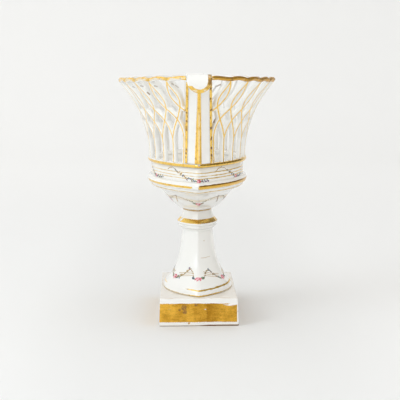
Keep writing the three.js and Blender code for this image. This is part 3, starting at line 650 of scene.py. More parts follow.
def post_gilt(post):
    """How far inside the post's gilt borders, or the gilt strip beside its ridge, each point is."""
    places = points_of(post)
    level = (places[:, 2] - WALL_FOOT) / WALL_HEIGHT
    border = (np.abs(places[:, 0]) - post_half_width(level)) / MM + POST_BORDER
    across = -places[:, 0] * np.sign(places[:, 1]) / MM
    spine = SPINE_FOOT_HALF_WIDTH - SPINE_TAPER * level - np.abs(across + SPINE_SHIFT * (1 - level))
    return np.where(facing_out(post, RIM_PLAN) > 0.25, np.maximum(border, spine), UNGILDED)


def lip_gilt(scroll, node):
    """How far inside the gilding of the scroll's lip each point is, in millimetres; as a painted
    highlight, the front one's left arm and the back one are left ungilded at the top.
    """
    solid = copy_of(node)
    lines = []
    for edge in solid.edges:
        if edge.calc_face_angle(0) > LIP_EDGE_ANGLE:
            lines.append([corner.co.copy() for corner in edge.verts])
    solid.free()
    places = points_of(scroll)
    bare = (places[:, 2] > LIP_HIGHLIGHT_TOP * MM) & ((places[:, 0] < 0) | (places[:, 1] > 0))
    return np.where(bare, UNGILDED, LIP_GILDING - distances(places, lines))


# Garlands
class Garland:
    """Enamel dabs and strokes painted round the bowl, one piece for each of its zones."""

    def __init__(self, name, carrier, plan):
        self.name = name
        self.plan = navette(*plan)
        self.tip = angle_at(self.plan, 0)
        self.side = 2 * self.tip * self.plan[0] / MM
        self.body = bmesh.new()
        self.painted = bmesh.new()
        self.surface = BVHTree.FromPolygons(
            [corner.co for corner in carrier.data.vertices],
            [tuple(face.vertices) for face in carrier.data.polygons],
        )

    def spot(self, along, height):
        """The place on the glaze, so far along from the front corner, with the surface's turn."""
        along %= 2 * self.side
        turn = 1 if along < self.side else -1
        angle = (along % self.side) * MM / self.plan[0] - self.tip
        x, y = plan_point(self.plan, angle)
        way = Vector((x, y, 0)) * turn
        start = way * 2 + Vector((0, 0, height * MM))
        place, normal, _, _ = self.surface.ray_cast(start, -way.normalized())
        right = Vector((0, 0, 1)).cross(normal).normalized()
        return pose(place, right, normal.cross(right), normal)

    def dab(self, along, height, length, width, turn, tint):
        sizes = Matrix.Diagonal((length / 2 * MM, width / 2 * MM, DAB_THICKNESS * MM, 1))
        place = self.spot(along, height) @ Matrix.Rotation(turn, 4, "Z") @ sizes
        made = bmesh.ops.create_uvsphere(
            self.body, u_segments=8, v_segments=4, radius=1, matrix=place
        )["verts"]
        for face in {face for corner in made for face in corner.link_faces}:
            face.material_index = tint

    def stroke(self, marks, width, tint, step=1.2):
        """A brush stroke through marks of (along, height)."""
        path = []
        for (a, b), (c, d) in zip(marks, marks[1:]):
            count = max(1, math.ceil(math.hypot(c - a, d - b) / step))
            path += [(a + (c - a) * i / count, b + (d - b) * i / count) for i in range(count)]
        path.append(marks[-1])
        spots = [self.spot(*mark) for mark in path]
        places = [spot.translation for spot in spots]
        frames = []
        for i, spot in enumerate(spots):
            normal = spot.col[2].to_3d()
            ahead = heading(places, i)
            along = (ahead - normal * ahead.dot(normal)).normalized()
            frames.append(pose(places[i], along.cross(normal), normal, along))
        line = bmesh.new()
        sweep(line, trapezoid(width / 2 * MM, width * MM, STROKE_THICKNESS * MM), frames)
        for face in line.faces:
            face.material_index = tint
        pour(line, self.body)

    def leaves(self, marks, spacing, size, tints=LEAF_TINTS):
        """Small leaves to both sides of a stem through the marks."""
        reach = 0
        for (a, b), (c, d) in zip(marks, marks[1:]):
            length = math.hypot(c - a, d - b)
            way = math.atan2(d - b, c - a)
            while reach < length:
                share = reach / length
                side = random.choice((-1, 1))
                turn = way + side * random.uniform(0.35, 0.95)
                up = b + (d - b) * share + side * size * 0.28
                grown = size * random.uniform(0.75, 1.2)
                self.dab(a + (c - a) * share, up, grown, grown * 0.5, turn, random.choice(tints))
                reach += spacing * random.uniform(0.8, 1.2)
            reach -= length

    def rose(self, along, height, size, squat=0.75, plump=1.0):
        """A full-blown rose: two leaves, a ring of petals, a pale one and a deep red heart."""
        wide = squat * plump
        for side in (-1, 1):
            tint = random.choice((GREEN, BLUE, OLIVE))
            x = along + side * size * 0.66
            self.dab(x, height + 0.2, size * 0.5, size * 0.26, side * 0.5, tint)
        for i in range(6):
            turn = math.tau * i / 6 + 0.3
            tint = PINK if math.cos(turn) < 0.2 else random.choice((PINK, RED))
            x = along + math.cos(turn) * size * 0.3
            z = height + math.sin(turn) * size * 0.3 * squat
            self.dab(x, z, size * 0.44, size * 0.44 * wide, turn * squat, tint)
        x, z = along - size * 0.1, height + size * 0.06 * squat
        self.dab(x, z, size * 0.36, size * 0.36 * wide, 0.2, PALE)
        x, z = along + size * 0.12, height - size * 0.02
        self.dab(x, z, size * 0.34, size * 0.32 * wide, 0.1, RED)
        self.dry()

    def dry(self):
        """Adds what has been painted since the last rose to the finished part."""
        pour(self.body, self.painted)
        self.body = bmesh.new()

    def finish(self):
        self.dry()
        self.body.free()
        piece = piece_of(self.name, self.painted)
        for tint in enamels:
            piece.data.materials.append(tint)
        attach(piece, "root")


def moved(marks, along, height):
    return [(along + a, height + b) for a, b in marks]


def band_garland(bowl):
    garland = Garland("band_garland", bowl, BAND_PLAN)
    for i, rose in enumerate(BAND_ROSES):
        steep = i % 2
        lines = BAND_STEEP if steep else BAND_BROAD
        arch, fall, chain, tail = (moved(line, rose, BAND_ROSE_HEIGHT) for line in lines)
        leafy = fall if steep else arch[3:] + fall[1:]
        garland.stroke(arch[:3], 0.9, BEIGE)
        garland.stroke(arch[2:], 0.6, BROWN if steep else BLUE)
        garland.leaves(arch[:3], 2.6, 1.6, (OLIVE, GREY, BEIGE))
        garland.stroke(fall, 0.5, BEIGE)
        garland.leaves(leafy, 2.0, 2.8, (BLUE, OLIVE, BLUE, BEIGE, GREY))
        garland.leaves(chain, 1.45, 3.0)
        garland.leaves(tail, 1.5, 2.9)
        garland.rose(rose, BAND_ROSE_HEIGHT, 5.8)
    garland.finish()


def cup_garland(bowl):
    """Swags between flat roses and knots, with ribbons under them and a tassel from each knot."""
    garland = Garland("cup_garland", bowl, CUP_PLAN)
    low, high = CUP_ROSE_HEIGHT, CUP_ROSE_HEIGHT + CUP_NODE_RISE
    nexts = CUP_ROSES[1:] + (CUP_ROSES[0] + 2 * garland.side,)
    for i, (rose, node, lean, after) in enumerate(zip(CUP_ROSES, CUP_NODES, CUP_TASSEL_LEANS, nexts)):
        for end, side in ((rose, 1), (after, -1)):
            span = node - end
            swag = [
                (end + side * 3, low + 0.6),
                (end + span * 0.35, low + 3.6),
                (end + span * 0.7, low + 6.2),
                (end + span, high),
            ]
            garland.stroke(swag, 0.9, BROWN)
            garland.leaves(swag[:3], 1.6, 2.2, (OLIVE, BROWN, GREEN, OLIVE))
            for drop, width, tint in CUP_RIBBONS:
                ribbon = [
                    (end, high - CUP_RIBBON_SAG - drop * 0.8),
                    (end + span * 0.5, high - CUP_RIBBON_SAG * 0.6 - drop),
                    (end + span, high + 0.3 - drop * 1.4),
                ]
                garland.stroke(ribbon, width, tint)
        for side in (-1, 1):
            tassel = [
                (node + side * 0.5, high),
                (node + side * 0.7 + lean * 4, high - 4.2),
                (node + side * 0.9 + lean * 7.5, high - 8),
            ]
            garland.stroke(tassel, 0.9, BEIGE if i % 2 else BROWN)
        knot = [(node - 1.5, high + 0.2), (node + 1.5, high + 0.2)]
        garland.leaves(knot, 0.9, 1.8, (VIOLET, GREY))
        garland.rose(rose, low, 10, 0.42)
    garland.finish()


def stem_garland(pedestal):
    """Loops to the right of every second rose and to the left of the next, joined by ribbons."""
    garland = Garland("stem_garland", pedestal, STEM_PLAN)
    roses = [(along, STEM_ROSE_HEIGHT - drop) for along, drop in zip(STEM_ROSES, STEM_ROSE_DROPS)]
    nexts = roses[1:] + [(roses[0][0] + 2 * garland.side, roses[0][1])]
    for i, (rose, after) in enumerate(zip(roses, nexts)):
        leftward = i % 2
        start, end = (after, rose) if leftward else (rose, after)
        side = -1 if leftward else 1
        loop = moved(STEM_LEFT_LOOP if leftward else STEM_RIGHT_LOOP, *start)
        garland.stroke(loop, 0.6, BEIGE)
        garland.leaves(loop, 1.5, 2.0, (OLIVE, GREEN, BEIGE, BROWN, VIOLET))
        node = loop[-1]
        garland.leaves([node, (node[0] + side * 1.6, node[1])], 0.8, 2.4, (VIOLET, GREY))
        fall = [node, (end[0] - side * 14, end[1] + 4.0), (end[0] - side * 5, end[1] + 0.4)]
        garland.stroke(fall, 0.6, BEIGE if leftward else BROWN)
        tints = (BEIGE, OLIVE) if leftward else (BLUE, OLIVE, GREEN, BROWN, OLIVE)
        garland.leaves(fall, 1.45, 2.5, tints)
        for near, near_up, far, far_up in STEM_RIBBONS:
            ribbon = [
                (start[0] + side * near, start[1] + near_up),
                ((start[0] + end[0]) / 2, (start[1] + end[1] + near_up + far_up) / 2),
                (end[0] - side * far, end[1] + far_up),
            ]
            garland.stroke(ribbon, 0.8, BEIGE)
        reach, size = (10.5, 2.9) if leftward else (7.5, 2.3)
        garland.leaves(moved([(3.5, 0), (reach, 0.8)], *rose), 1.3, size, (GREEN, BLUE, OLIVE, BLUE))
        garland.leaves(moved([(-7.5, 1.0), (-3.5, 0)], *after), 1.4, 2.3, (GREEN, BLUE, OLIVE))
        garland.rose(*rose, *((9.2, 0.42, 1.3) if leftward else (10.0, 0.25, 2.1)))
    garland.finish()


# Materials
def operation(name):
    return lambda self, other=0.0: self.paint.math(name, self, other)


class Tone:
    """A value that varies over a surface, with the arithmetic that masks need; a | b is the
    stronger of two masks."""

    __add__ = operation("ADD")
    __sub__ = operation("SUBTRACT")
    __mul__ = operation("MULTIPLY")
    __truediv__ = operation("DIVIDE")
    __or__ = operation("MAXIMUM")
    __abs__ = operation("ABSOLUTE")

    def __init__(self, paint, socket):
        self.paint = paint
        self.socket = socket

    def __rsub__(self, other):
        return self.paint.math("SUBTRACT", other, self)

    def step(self, low, high):
        """0 below low, 1 above high and smooth between; the other way round if low is above high."""
        inputs = {"Value": self, "From Min": min(low, high), "From Max": max(low, high)}
        inputs.update({"To Min": int(low > high), "To Max": int(low < high)})
        return self.paint.node("MapRange", inputs, interpolation_type="SMOOTHSTEP")

    def within(self, begins, ends):
        """1 between two steps."""
        return self.step(*begins) * self.step(*ends)

    def blend(self, a, b):
        """From a where this is 0 to b where it is 1."""
        return self.paint.node("Mix", {"Factor": self, "A": a, "B": b})

    def tint(self, a, b):
        """The same from one colour to another."""
        return self.paint.node("Mix", {0: self, 6: a, 7: b}, 2, data_type="RGBA")


class Paint:
    """A material and short ways to wire its nodes. Its x, y and z are in millimetres."""

    def __init__(self, name):
        self.material = bpy.data.materials.new(name)
        self.material.use_nodes = True
        self.tree = self.material.node_tree
        self.shader = self.tree.nodes["Principled BSDF"]
        self.place = self.node("TexCoord", {}, "Object")
        self.x, self.y, self.z = (
            self.node("SeparateXYZ", {0: self.place}, axis) / MM for axis in "XYZ"
        )

    def put(self, value, socket):
        if isinstance(value, Tone):
            self.tree.links.new(value.socket, socket)
        elif socket.type == "RGBA":
            socket.default_value = (*value, 1)
        else:
            socket.default_value = value

    def node(self, kind, inputs, output=0, **settings):
        """A new node's output, its inputs given by name or number."""
        made = adjusted(self.tree.nodes.new("ShaderNode" + kind), **settings)
        for name, value in inputs.items():
            self.put(value, made.inputs[name])
        return Tone(self, made.outputs[output])

    def math(self, operation, a, b=0.0):
        return self.node("Math", {0: a, 1: b}, operation=operation)

    def noise(self, size, detail=3.0, stretch=(1, 1, 1), seed=0.0):
        """Noise whose blots are about this many millimetres across."""
        shift = (seed, seed * 0.7, seed * 1.3)
        scale = tuple(part / (size * MM) for part in stretch)
        place = self.node("Mapping", {"Vector": self.place, "Location": shift, "Scale": scale})
        return self.node("TexNoise", {"Vector": place, "Scale": 1, "Detail": detail}, "Fac")

    def wobble(self, size, seed):
        """A brush's unsteadiness, from -1/2 to 1/2."""
        return self.noise(size, 2.0, seed=seed) - 0.5

    def attribute(self, name):
        return self.node("Attribute", {}, "Fac", attribute_name=name)

    def right(self, soft):
        """0 on the left side and 1 on the right, soft for so many millimetres off the middle."""
        return self.x.step(-soft, soft)

    def corner(self, side, level):
        """1 beyond a step to the side and one in height."""
        return self.x.step(*side) * self.z.step(*level)

    def spot(self, place, radius):
        """A round mark."""
        centre = tuple(part * MM for part in place)
        away = self.node("VectorMath", {0: self.place, 1: centre}, "Value", operation="DISTANCE")
        return away.step(radius * MM, radius * 0.5 * MM)

    def spots(self, marks):
        return strongest(self.spot(*mark) for mark in marks)

    def raise_surface(self, height, distance):
        """Bumps the surface by up to so many millimetres."""
        bump = self.node("Bump", {"Height": height, "Strength": 1, "Distance": distance * MM})
        self.put(bump, self.shader.inputs["Normal"])

    def finish(self, **values):
        for name, value in values.items():
            self.put(value, self.shader.inputs[name.replace("_", " ")])
        return self.material


def strongest(masks):
    return functools.reduce(operator.or_, masks)


def glaze(paint):
    """The white glaze: its colour, shine and faint waves."""
    colour = paint.noise(30).tint(WHITE, COOL_WHITE)
    shine = paint.noise(9, seed=3).blend(0.07, 0.17)
    waves = paint.noise(14, 1.0) * 0.75 + paint.noise(2.2, 2.0) * 0.25
    return colour, shine, waves


def thin_gold(paint):
    """Where the gold was brushed on thinly."""
    return paint.noise(3.4, 4.0, seed=5).step(0.45, 0.8)


def gilded(
    name, mask_of, chips_and_shade_of=None, dull=0.0, body=1.0, tones=(GOLD, DEEP_GOLD), thin_and_shade_of=thin_gold,
    marks_of=None, mark_tone=STAIN, glow_of=None,
):
    """Porcelain with burnished gilding where mask_of(paint) says, deeper in tone where the thinness mask
    says, for thin gold and painted shade, and dark where the chips mask says, for lost gold and painted
    shade."""
    paint = Paint(name)
    white, glass, waves = glaze(paint)
    if marks_of:
        white = marks_of(paint).tint(white, mark_tone)
    burnish = paint.noise(1.4, 4.0, seed=8).blend(0.16, 0.34) + dull
    mask = mask_of(paint)
    metal = mask * body
    colour = mask.tint(white, thin_and_shade_of(paint).tint(*tones))
    if chips_and_shade_of:
        bare = mask * chips_and_shade_of(paint)
        colour = bare.tint(colour, SPOT_BROWN)
        metal = metal - bare
    if glow_of:
        paint.finish(Emission_Color=GLOW, Emission_Strength=glow_of(paint))
    paint.raise_surface(waves + mask * 0.5, 0.05)
    return paint.finish(Base_Color=colour, Metallic=metal, Roughness=mask.blend(glass, burnish))


def ring_line(paint, height, width, fade, seed):
    """A brushed line right round the bowl, worn away in places."""
    away = abs(paint.z - height + paint.wobble(16, seed) * 0.9)
    thick = paint.noise(4, 3.0, seed=seed + 1) * width
    left = paint.noise(22, 4.0, seed=seed + 2).step(fade - 0.05, fade + 0.05)
    return (away - thick).step(0.1, -0.1) * left


def between(paint, low, high, seed, unsteady=0.5):
    """From one height to another, with a hand-painted edge."""
    z = paint.z + paint.wobble(5, seed) * unsteady
    return z.step(low - 0.12, low + 0.12) * z.step(high + 0.12, high - 0.12)


def outside(paint):
    return paint.attribute("outside").step(0.0, 0.3)


def edge_gilding(paint):
    """Gilding up to where the attribute turns negative."""
    return (paint.attribute("gilt") + paint.wobble(4, 61) * 0.5).step(-0.12, 0.12)


def inner_glow(paint):
    """Painted glow for daylight through the thin wall, seen on the bowl's inner side near its mouth."""
    inside = paint.attribute("outside").step(-0.2, -0.5)
    return inside * paint.z.step(*GLOW_RISES) * paint.right(6).blend(0.13, 0.05)


def strand_gilding_and_painted_light(paint):
    """The thin line along each strand, a little finer on the left, where painted light washes it out."""
    finer = paint.right(25).blend(0.14, -0.08)
    return (paint.attribute("line") + paint.wobble(3, 11) * 0.7 + finer).step(1.0, 0.68)


def strand_feet_shade(paint):
    """Painted shade: the strands' lines run brown where they meet the upper moulding, on the right."""
    return paint.z.step(*STRAND_FEET) * paint.right(5) * 0.6


def strand_gap_shade(paint):
    """Painted shade from the lattice's gaps, as small dark streaks on the strands, each drawn as a row
    of dots.
    """
    dots = []
    for first, last, radius, depth in OPENWORK_GAP_SHADE:
        for share in (0, 0.33, 0.67, 1):
            place = [a + (b - a) * share for a, b in zip(first, last)]
            dots.append(paint.spot(place, radius) * depth)
    return strongest(dots)


def bowl_gilding(paint):
    """Three lines round the band, finer on the left, and one at the cup's top and one at its foot."""
    width = paint.x.step(*BAND_LINES_WIDEN).blend(*BAND_LINE_WIDTHS)
    lines = [ring_line(paint, height, width, 0.36, 20 + i) for i, height in enumerate(BAND_LINES)]
    lines.append(ring_line(paint, CUP_TOP_LINE, CUP_TOP_LINE_WIDTH, 0.34, 31))
    lines.append(ring_line(paint, CUP_FOOT_LINE, CUP_FOOT_LINE_WIDTH, 0.16, 37))
    return strongest(lines) * outside(paint)


def line_tone(paint):
    """The bowl's lines are thinner gold in places, and browner round the neck."""
    return thin_gold(paint) | paint.z.step(*NECK_BROWNS) * 0.78


def foot_gilding(paint):
    """The line on the foot's edge, fresh in front, and the one on its plate, which stops on the left."""
    edge = ring_line(paint, FOOT_EDGE_LINE, FOOT_LINE_WIDTH, 0.34, 41)
    width = paint.x.step(*FOOT_PLATE_WIDENS).blend(*FOOT_PLATE_WIDTHS)
    plate = ring_line(paint, FOOT_PLATE_LINE, width, 0.38, 47)
    kept = paint.x.step(*FOOT_PLATE_BEGINS) | paint.y.step(*FOOT_PLATE_BACK)
    return edge * paint.x.within(*FOOT_EDGE_FRESH).blend(0.5, 1.0) | plate * kept


def knop_gilding_and_highlight(paint):
    """The knop's gold, left off just before its left end as a painted highlight."""
    return between(paint, *KNOP_GILDING, 53) * (1 - paint.spot(*KNOP_HIGHLIGHT))


def knop_shade_tone(paint):
    """An even gold on the knop's left side, and patches of deeper gold on its right as painted shade."""
    return thin_gold(paint) * paint.right(1).blend(0.08, 1.0)


def knop_shade_blots(paint):
    """Painted shade: deeper, brownish gold in blots on the knop's right side."""
    return paint.right(0.6) * paint.noise(3, 5.0, seed=54).step(0.36, 0.64) * 0.5


def lower_moulding_gilding(paint):
    """A band that is broader on the right, broken at the two pointed ends."""
    narrow = between(paint, *LOWER_MOULDING_LEFT, 59, 0.9)
    broad = between(paint, *LOWER_MOULDING_RIGHT, 60, 0.9)
    across = abs(paint.x + (paint.wobble(2.4, 57) * 5 + TIP_BARE_SHIFT))
    return paint.right(2).blend(narrow, broad) * outside(paint) * across.step(*TIP_BARE)


def lower_moulding_tone_and_shade(paint):
    """Thinner gold in places, and painted shade: deeper gold on the right side, deepest along its upper
    edge.
    """
    edge = paint.z.step(*LOWER_MOULDING_DEEPENS).blend(0.4, 0.95)
    return thin_gold(paint) | paint.right(1) * edge


def moulding_gilding(paint):
    """The upper moulding's gold, rubbed off the tip under each ridge."""
    return edge_gilding(paint) - paint.spots(MOULDING_TIPS)


def panel_gilding(paint):
    """The plinth's gilt panels, rubbed at the edges, at one top corner and in small scratches."""
    level = paint.math("MINIMUM", paint.z - PANEL_FOOT, PANEL_TOP - paint.z)
    edge = level + (paint.wobble(9, 67) * 1.2 + paint.wobble(1.2, 68))
    scratches = paint.noise(6, 6.0, (0.5, 0.5, 2.2), 69).step(0.24, 0.29)
    worn = paint.corner(*PANEL_WORN_CORNER) * 0.315
    whole = (paint.noise(2.6, 5.0, (0.12, 0.12, 1.0), 66) - worn).step(0.26, 0.31)
    short = paint.x.step(*PANEL_END) | paint.y.step(*PANEL_NEAR_FACE)
    panel = edge.step(0.0, 0.5) * scratches * whole * short
    line = paint.x.step(*BASE_LINE_WIDENS).blend(*BASE_LINE_WIDTHS)
    foot = (paint.z - line).step(0.0, -0.45) * paint.noise(9, 4.0, seed=70).step(0.26, 0.38)
    return panel | foot | paint.spots(PANEL_DRIPS) * 0.7


def panel_brushwork(paint):
    """Where the panels' gold is thin: level strokes, upright patches, a fine mottle and one stroke."""
    streaks = paint.noise(2.4, 6.0, (0.28, 0.28, 1.0), 75).step(0.40, 0.70)
    patches = paint.noise(15, 5.0, (1, 1, 0.7), 76).step(0.42, 0.60)
    mottle = paint.noise(1.1, 6.0, seed=77).step(0.44, 0.62)
    stroke = paint.x.within(*PANEL_STROKE)
    return streaks * 0.30 + patches * 0.42 + mottle * 0.22 + stroke * 0.28


def panel_tarnish(paint):
    """Dark blots in the panels' gilding, and all of the thin line at the plinth's foot."""
    blots = paint.noise(2.4, 7.0, seed=71).step(0.58, 0.74)
    grime = paint.noise(1.6, 6.0, seed=72)
    smears = paint.spots(PANEL_BLOTS) * grime.step(0.30, 0.52)
    rim = abs(paint.z - PANEL_TOP).step(1.6, 0.4) * grime.step(0.5, 0.62)
    return blots * 0.35 + rim * 0.5 | smears * 0.75 | paint.z.step(*BASE_LINE_BROWNS) * 0.85


def plinth_stains(paint):
    """Warm traces of old gilding on the plinth's top, strongest along its borders."""
    border = abs(paint.x).step(*PLINTH_SIDE_BORDER) | abs(paint.y).step(*PLINTH_END_BORDER)
    patches = paint.noise(10, 5.0, seed=81).step(0.40, 0.66)
    return (border * patches * 0.7 | 0.32) * paint.z.step(*PLINTH_TOP)


def stem_stains(paint):
    """A firing crack across the stem's right face, a brown speck above it and a few faint ones."""
    level = abs(paint.z + paint.wobble(6, 83) * 1.6 - CRACK_HEIGHT)
    face = paint.x.within(*CRACK_SPAN) * paint.y.step(0, -1)
    return level.step(0.5, 0.1) * face * 0.85 | paint.spots(STEM_SPECKS)


def border_chips(paint):
    """Small dark places where the posts' gilding has gone."""
    left = paint.x.step(0, -1)
    flakes = paint.noise(3.4, 3.0, (1, 1, 0.6), 73).step(0.57, 0.62)
    return flakes * left.blend(0.85, 0.4) | paint.spots(BORDER_CHIPS) * left.blend(0.95, 0.72)


def rim_tone_and_shade(paint):
    """Thinner gold in places, and painted shade: the right rim deeper than the bright left one."""
    return thin_gold(paint) | paint.x.step(0, 20) * 0.95


def rim_blots_and_shade(paint):
    """Brownish places in the rims' gilding, most of them where the scallops meet, painted stronger on
    the right as shade.
    """
    patches = paint.noise(3.6, 4.0, seed=91).step(0.54, 0.66) * 0.34
    dips = paint.attribute("dip").step(3.6, 1.0) * paint.noise(2.4, 3.0, seed=96).step(0.38, 0.52)
    return patches | dips * paint.right(10).blend(0.32, 0.62)


def rim_gilding_and_highlights(paint):
    """The rims' gold, rubbed through in patches; on the left one, painted highlight leaves more patches
    and its crests and underside ungilded.
    """
    left = paint.x.step(0, -10)
    patches = paint.noise(3.4, 2.0, seed=92).step(0.57, 0.64) * paint.x.step(0, 20).blend(0.5, 0.2)
    unsteady = paint.wobble(4, 97) * 2.2
    # Painted highlight along the left rim's crests, and painted light under it
    crest = (paint.attribute("gilt") + unsteady).step(2.55, 3.0) * paint.attribute("dip").step(2.6, 5.0)
    low = (paint.attribute("rise") + unsteady * 0.3).step(-0.7, -1.2)
    return edge_gilding(paint) * (1 - (patches | crest * left * 0.8 | low * left))


def lip_gilding(paint):
    """The gilding of the scroll's lip, rubbed to a pale pink in patches."""
    rubbed = paint.noise(2.6, 3.0, seed=93).step(0.51, 0.62)
    return edge_gilding(paint) * (1 - rubbed * 0.5)


def lip_shade(paint):
    """Painted shade on the lip's right arm: deeper gold, darkest in blots at its top."""
    top = paint.corner(*LIP_ARM_TOP) * paint.noise(2.5, 2.0, seed=94).step(0.36, 0.5)
    return paint.corner(*LIP_ARM) * 0.3 | top * 0.8


def ridge_gilding_and_highlight(paint):
    """The ridge's gold, left pale along its crest in the lower half as painted highlight and wear, and
    narrower at its top.
    """
    off_middle = abs(paint.x)
    patches = paint.noise(7, 3.0, (1, 1, 0.4), 95).step(0.36, 0.5)
    # Painted highlight and wear: a pale crest in the lower half
    worn = off_middle.step(*RIDGE_CREST) * paint.z.step(*RIDGE_WORN_AND_HIGHLIT_BELOW) * patches * 0.6
    bare = worn | off_middle.step(*RIDGE_TOP_GILDING) * paint.z.step(*RIDGE_NARROWS)
    return paint.noise(3.5, 6.0, seed=2).step(0.27, 0.31) * (1 - bare)


def porcelain():
    paint = Paint("porcelain")
    white, glass, waves = glaze(paint)
    paint.raise_surface(waves, 0.05)
    return paint.finish(Base_Color=white, Roughness=glass)


def enamel(name, colour):
    """A dab of fired colour, thinner and paler in places."""
    paint = Paint(name)
    washed = tuple(part * 0.55 + 0.38 for part in colour)
    thin = paint.noise(1.1, 2.0).step(0.45, 0.85)
    shine = paint.noise(0.8).blend(0.15, 0.35)
    return paint.finish(Base_Color=thin.tint(colour, washed), Roughness=shine)


def metal(name, tones, grain, rough):
    """Turned metal with a fine grain, dulled by age."""
    paint = Paint(name)
    aged = paint.noise(4, 5.0).step(0.4, 0.7)
    marks = paint.noise(1.5, 4.0, (0.4, 0.4, 6))
    paint.raise_surface(marks, grain)
    shine = marks.blend(rough, rough + 0.22)
    return paint.finish(Base_Color=aged.tint(*tones), Metallic=1.0, Roughness=shine)


def leather():
    paint = Paint("pad_leather")
    grain = paint.noise(0.7, 4.0)
    paint.raise_surface(grain, 0.12)
    return paint.finish(Base_Color=grain.tint(*LEATHER), Roughness=grain.blend(0.5, 0.75))


# Stage
def stage_material():
    """Pale paper with painted shade and light: deepest near the bowl, lightest far off on the left."""
    paint = Paint("stage")
    reach = paint.math("SQRT", paint.x * paint.x + paint.y * paint.y)
    under = paint.noise(400, 1.0).tint(*PAINTED_SHADE_UNDER)
    near = abs(paint.x).step(80, 220).tint(under, PAPER_NEAR)
    far = paint.x.step(-2200, 2200).tint(*PAINTED_LIGHT_FAR)
    return paint.finish(Base_Color=reach.step(300, 1800).tint(near, far), Roughness=0.9)


def build_stage():
    """A round floor that sweeps up into a wall, alike from every side."""
    body = bmesh.new()
    profile = [(0, 0), (0.5, 0), (1.2, 0)]
    for i in range(CORNER_STEPS + 1):
        turn = math.pi / 2 * i / CORNER_STEPS
        out = FLOOR_RADIUS - FLOOR_CORNER + FLOOR_CORNER * math.sin(turn)
        profile.append((out, FLOOR_CORNER - FLOOR_CORNER * math.cos(turn)))
    profile.append((FLOOR_RADIUS, WALL_TOP))
    points = [body.verts.new((0, y, z)) for y, z in profile]
    edges = [body.edges.new(pair) for pair in zip(points, points[1:])]
    spin(body, points, edges, math.tau, FLOOR_STEPS, whole=True)
    bmesh.ops.remove_doubles(body, verts=body.verts, dist=1e-5)
    bmesh.ops.recalc_face_normals(body, faces=body.faces)
    floor = piece_of("studio_floor", body)
    floor.data.materials.append(stage_material())


def add_light(name, place, size, power, colour=(1, 1, 1), glossy=True):
    light = bpy.data.lights.new(name, "AREA")
    adjusted(light, shape="DISK", size=size, energy=power, color=colour)
    lamp = placed(name, light)
    adjusted(lamp, location=place, visible_camera=False, visible_glossy=glossy)
    lamp.rotation_mode = "QUATERNION"
    lamp.rotation_quaternion = (AIM - Vector(place)).to_track_quat("-Z", "Y")


def add_card(name, place, width, height):
    """A brown card beside the bowl, out of sight, that deepens the reflections on that side."""
    body = bmesh.new()
    bmesh.ops.create_grid(body, x_segments=1, y_segments=1, size=0.5)
    bmesh.ops.scale(body, vec=(width, height, 1), verts=body.verts)
    turn = (AIM - Vector(place)).to_track_quat("Z", "Y").to_matrix().to_4x4()
    bmesh.ops.transform(body, matrix=Matrix.Translation(place) @ turn, verts=body.verts)
    card = piece_of(name, body)
    card.data.materials.append(Paint(name).finish(Base_Color=CARD_TONE, Roughness=1.0))
    adjusted(card, visible_camera=False, visible_shadow=False, visible_diffuse=False)


def light_stage():
    world = bpy.data.worlds.new("studio")
    world.use_nodes = True
    sky = world.node_tree.nodes["Background"]
    sky.inputs["Color"].default_value = SKY_COLOUR
    sky.inputs["Strength"].default_value = SKY_STRENGTH
    bpy.context.scene.world = world
    add_light("key", (-1.5, -0.9, 1.0), 1.2, KEY_POWER, KEY_COLOUR)
    add_light("fill", (0.3, -1.9, 0.7), 1.0, FILL_POWER)
    add_light("top", (0.1, 0.2, 2.3), 1.8, TOP_POWER)
    add_light("right", (1.3, -1.1, 0.6), 1.4, RIGHT_POWER, glossy=False)
    add_card("side_card", (1.0, 0.2, 0.75), 2.6, 1.7)
    add_card("front_card", (0.75, -1.6, 0.6), 2.0, 1.7)


def build_camera():
    camera = adjusted(bpy.data.cameras.new("camera"), lens=FOCAL_LENGTH, sensor_width=SENSOR)
    level = math.cos(CAMERA_PITCH)
    ahead, right = math.cos(CAMERA_TURN) * level, math.sin(CAMERA_TURN) * level
    aim = Vector((right, ahead, -math.sin(CAMERA_PITCH)))
    roll = Matrix.Rotation(CAMERA_ROLL, 4, "Z")
    turn = aim.to_track_quat("-Z", "Y").to_matrix().to_4x4()
    holder = placed("camera", camera)
    holder.matrix_world = Matrix.Translation(CAMERA_PLACE) @ turn @ roll
    bpy.context.scene.camera = holder


build_camera()
build_stage()
light_stage()
bpy.context.scene.view_settings.view_transform = "Standard"


# The bowl, piece by piece
def cover(piece, material):
    piece.data.materials.clear()
    piece.data.materials.append(material)


def dress(piece, material):
    cover(piece, material)


enamels = [enamel(name, colour) for name, colour in PETAL_TINTS]

bowl = mark_outside(glazed_copy("bowl"))
dress(bowl, gilded(
    "bowl_gilding", bowl_gilding, dull=0.25, body=0.5,
    tones=(LINE_GOLD, LINE_DEEP), thin_and_shade_of=line_tone, glow_of=inner_glow,
))

pedestal = glazed_copy("pedestal", FOOT_CREASE)
dress(pedestal, gilded("foot_gilding", foot_gilding, dull=0.1, body=0.8, marks_of=stem_stains))
dress(glazed_copy("knop_ring"), gilded("knop_gilding_and_highlight", knop_gilding_and_highlight, knop_shade_blots, thin_and_shade_of=knop_shade_tone))
dress(crisp_copy("plinth"), gilded(
    "panel_gilding", panel_gilding, panel_tarnish, dull=0.06, body=0.95,
    tones=(PANEL_GOLD, PANEL_DEEP), thin_and_shade_of=panel_brushwork, marks_of=plinth_stains,
))

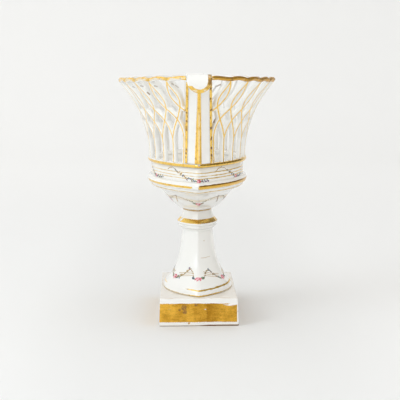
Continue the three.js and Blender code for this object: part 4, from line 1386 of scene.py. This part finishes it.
lower_gold = gilded("lower_moulding_gilding", lower_moulding_gilding, thin_and_shade_of=lower_moulding_tone_and_shade)
dress(mark_outside(glazed_copy("lower_moulding")), lower_gold)

upper = mark_outside(glazed_copy("upper_moulding"))
paint_points(upper, "gilt", moulding_gilt(upper))
dress(upper, gilded("moulding_gilding", moulding_gilding, glow_of=inner_glow))

rim_gold = gilded("rim_gilding_and_highlights", rim_gilding_and_highlights, rim_blots_and_shade, dull=0.16, body=0.85, thin_and_shade_of=rim_tone_and_shade)
for node in ("rim_left", "rim_right"):
    rim = glazed_copy(node)
    dip, rise = scallop_places(rim)
    paint_points(rim, "gilt", oval_offset(points_of(rim), RIM_PLAN) + 0.3)
    paint_points(rim, "dip", dip)
    paint_points(rim, "rise", rise)
    dress(rim, rim_gold)

post_gold = gilded("post_gilding", edge_gilding, border_chips)
for node in ("post_front", "post_back"):
    post = glazed_copy(node)
    paint_points(post, "gilt", post_gilt(post))
    dress(post, post_gold)

ridge_gold = gilded("ridge_gilding_and_highlight", ridge_gilding_and_highlight)
for node in ("ridge_front", "ridge_back"):
    dress(glazed_copy(node), ridge_gold)

lip_gold = gilded("lip_gilding", lip_gilding, lip_shade)
for node in ("scroll_front", "scroll_back"):
    scroll = glazed_copy(node)
    paint_points(scroll, "gilt", lip_gilt(scroll, node))
    dress(scroll, lip_gold)

strand_gold = gilded(
    "strand_gilding_and_painted_light", strand_gilding_and_painted_light, strand_feet_shade, dull=0.2, body=0.6,
    marks_of=strand_gap_shade, mark_tone=GAP_SHADE_BROWN,
)
for node, turn in (("lattice_right", 0), ("lattice_left", math.pi)):
    dress(lattice(node, turn), strand_gold)

band_garland(bowl)
cup_garland(bowl)
stem_garland(pedestal)

white = porcelain()
dress(luting("stem_luting", *STEM_LUTING), white)
dress(luting("neck_luting", *NECK_LUTING), white)

brass = metal("brass", BRASS, grain=0.03, rough=0.22)
steel = metal("steel", STEEL, grain=0.04, rough=0.30)
pad = leather()
for nodes, material in (
    (("tie_rod", "bottom_washer", "bottom_nut"), steel),
    (("cap_nut", "top_washer"), brass),
    (("top_pad", "bottom_pad"), pad),
):
    for node in nodes:
        cover(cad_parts[node], material)
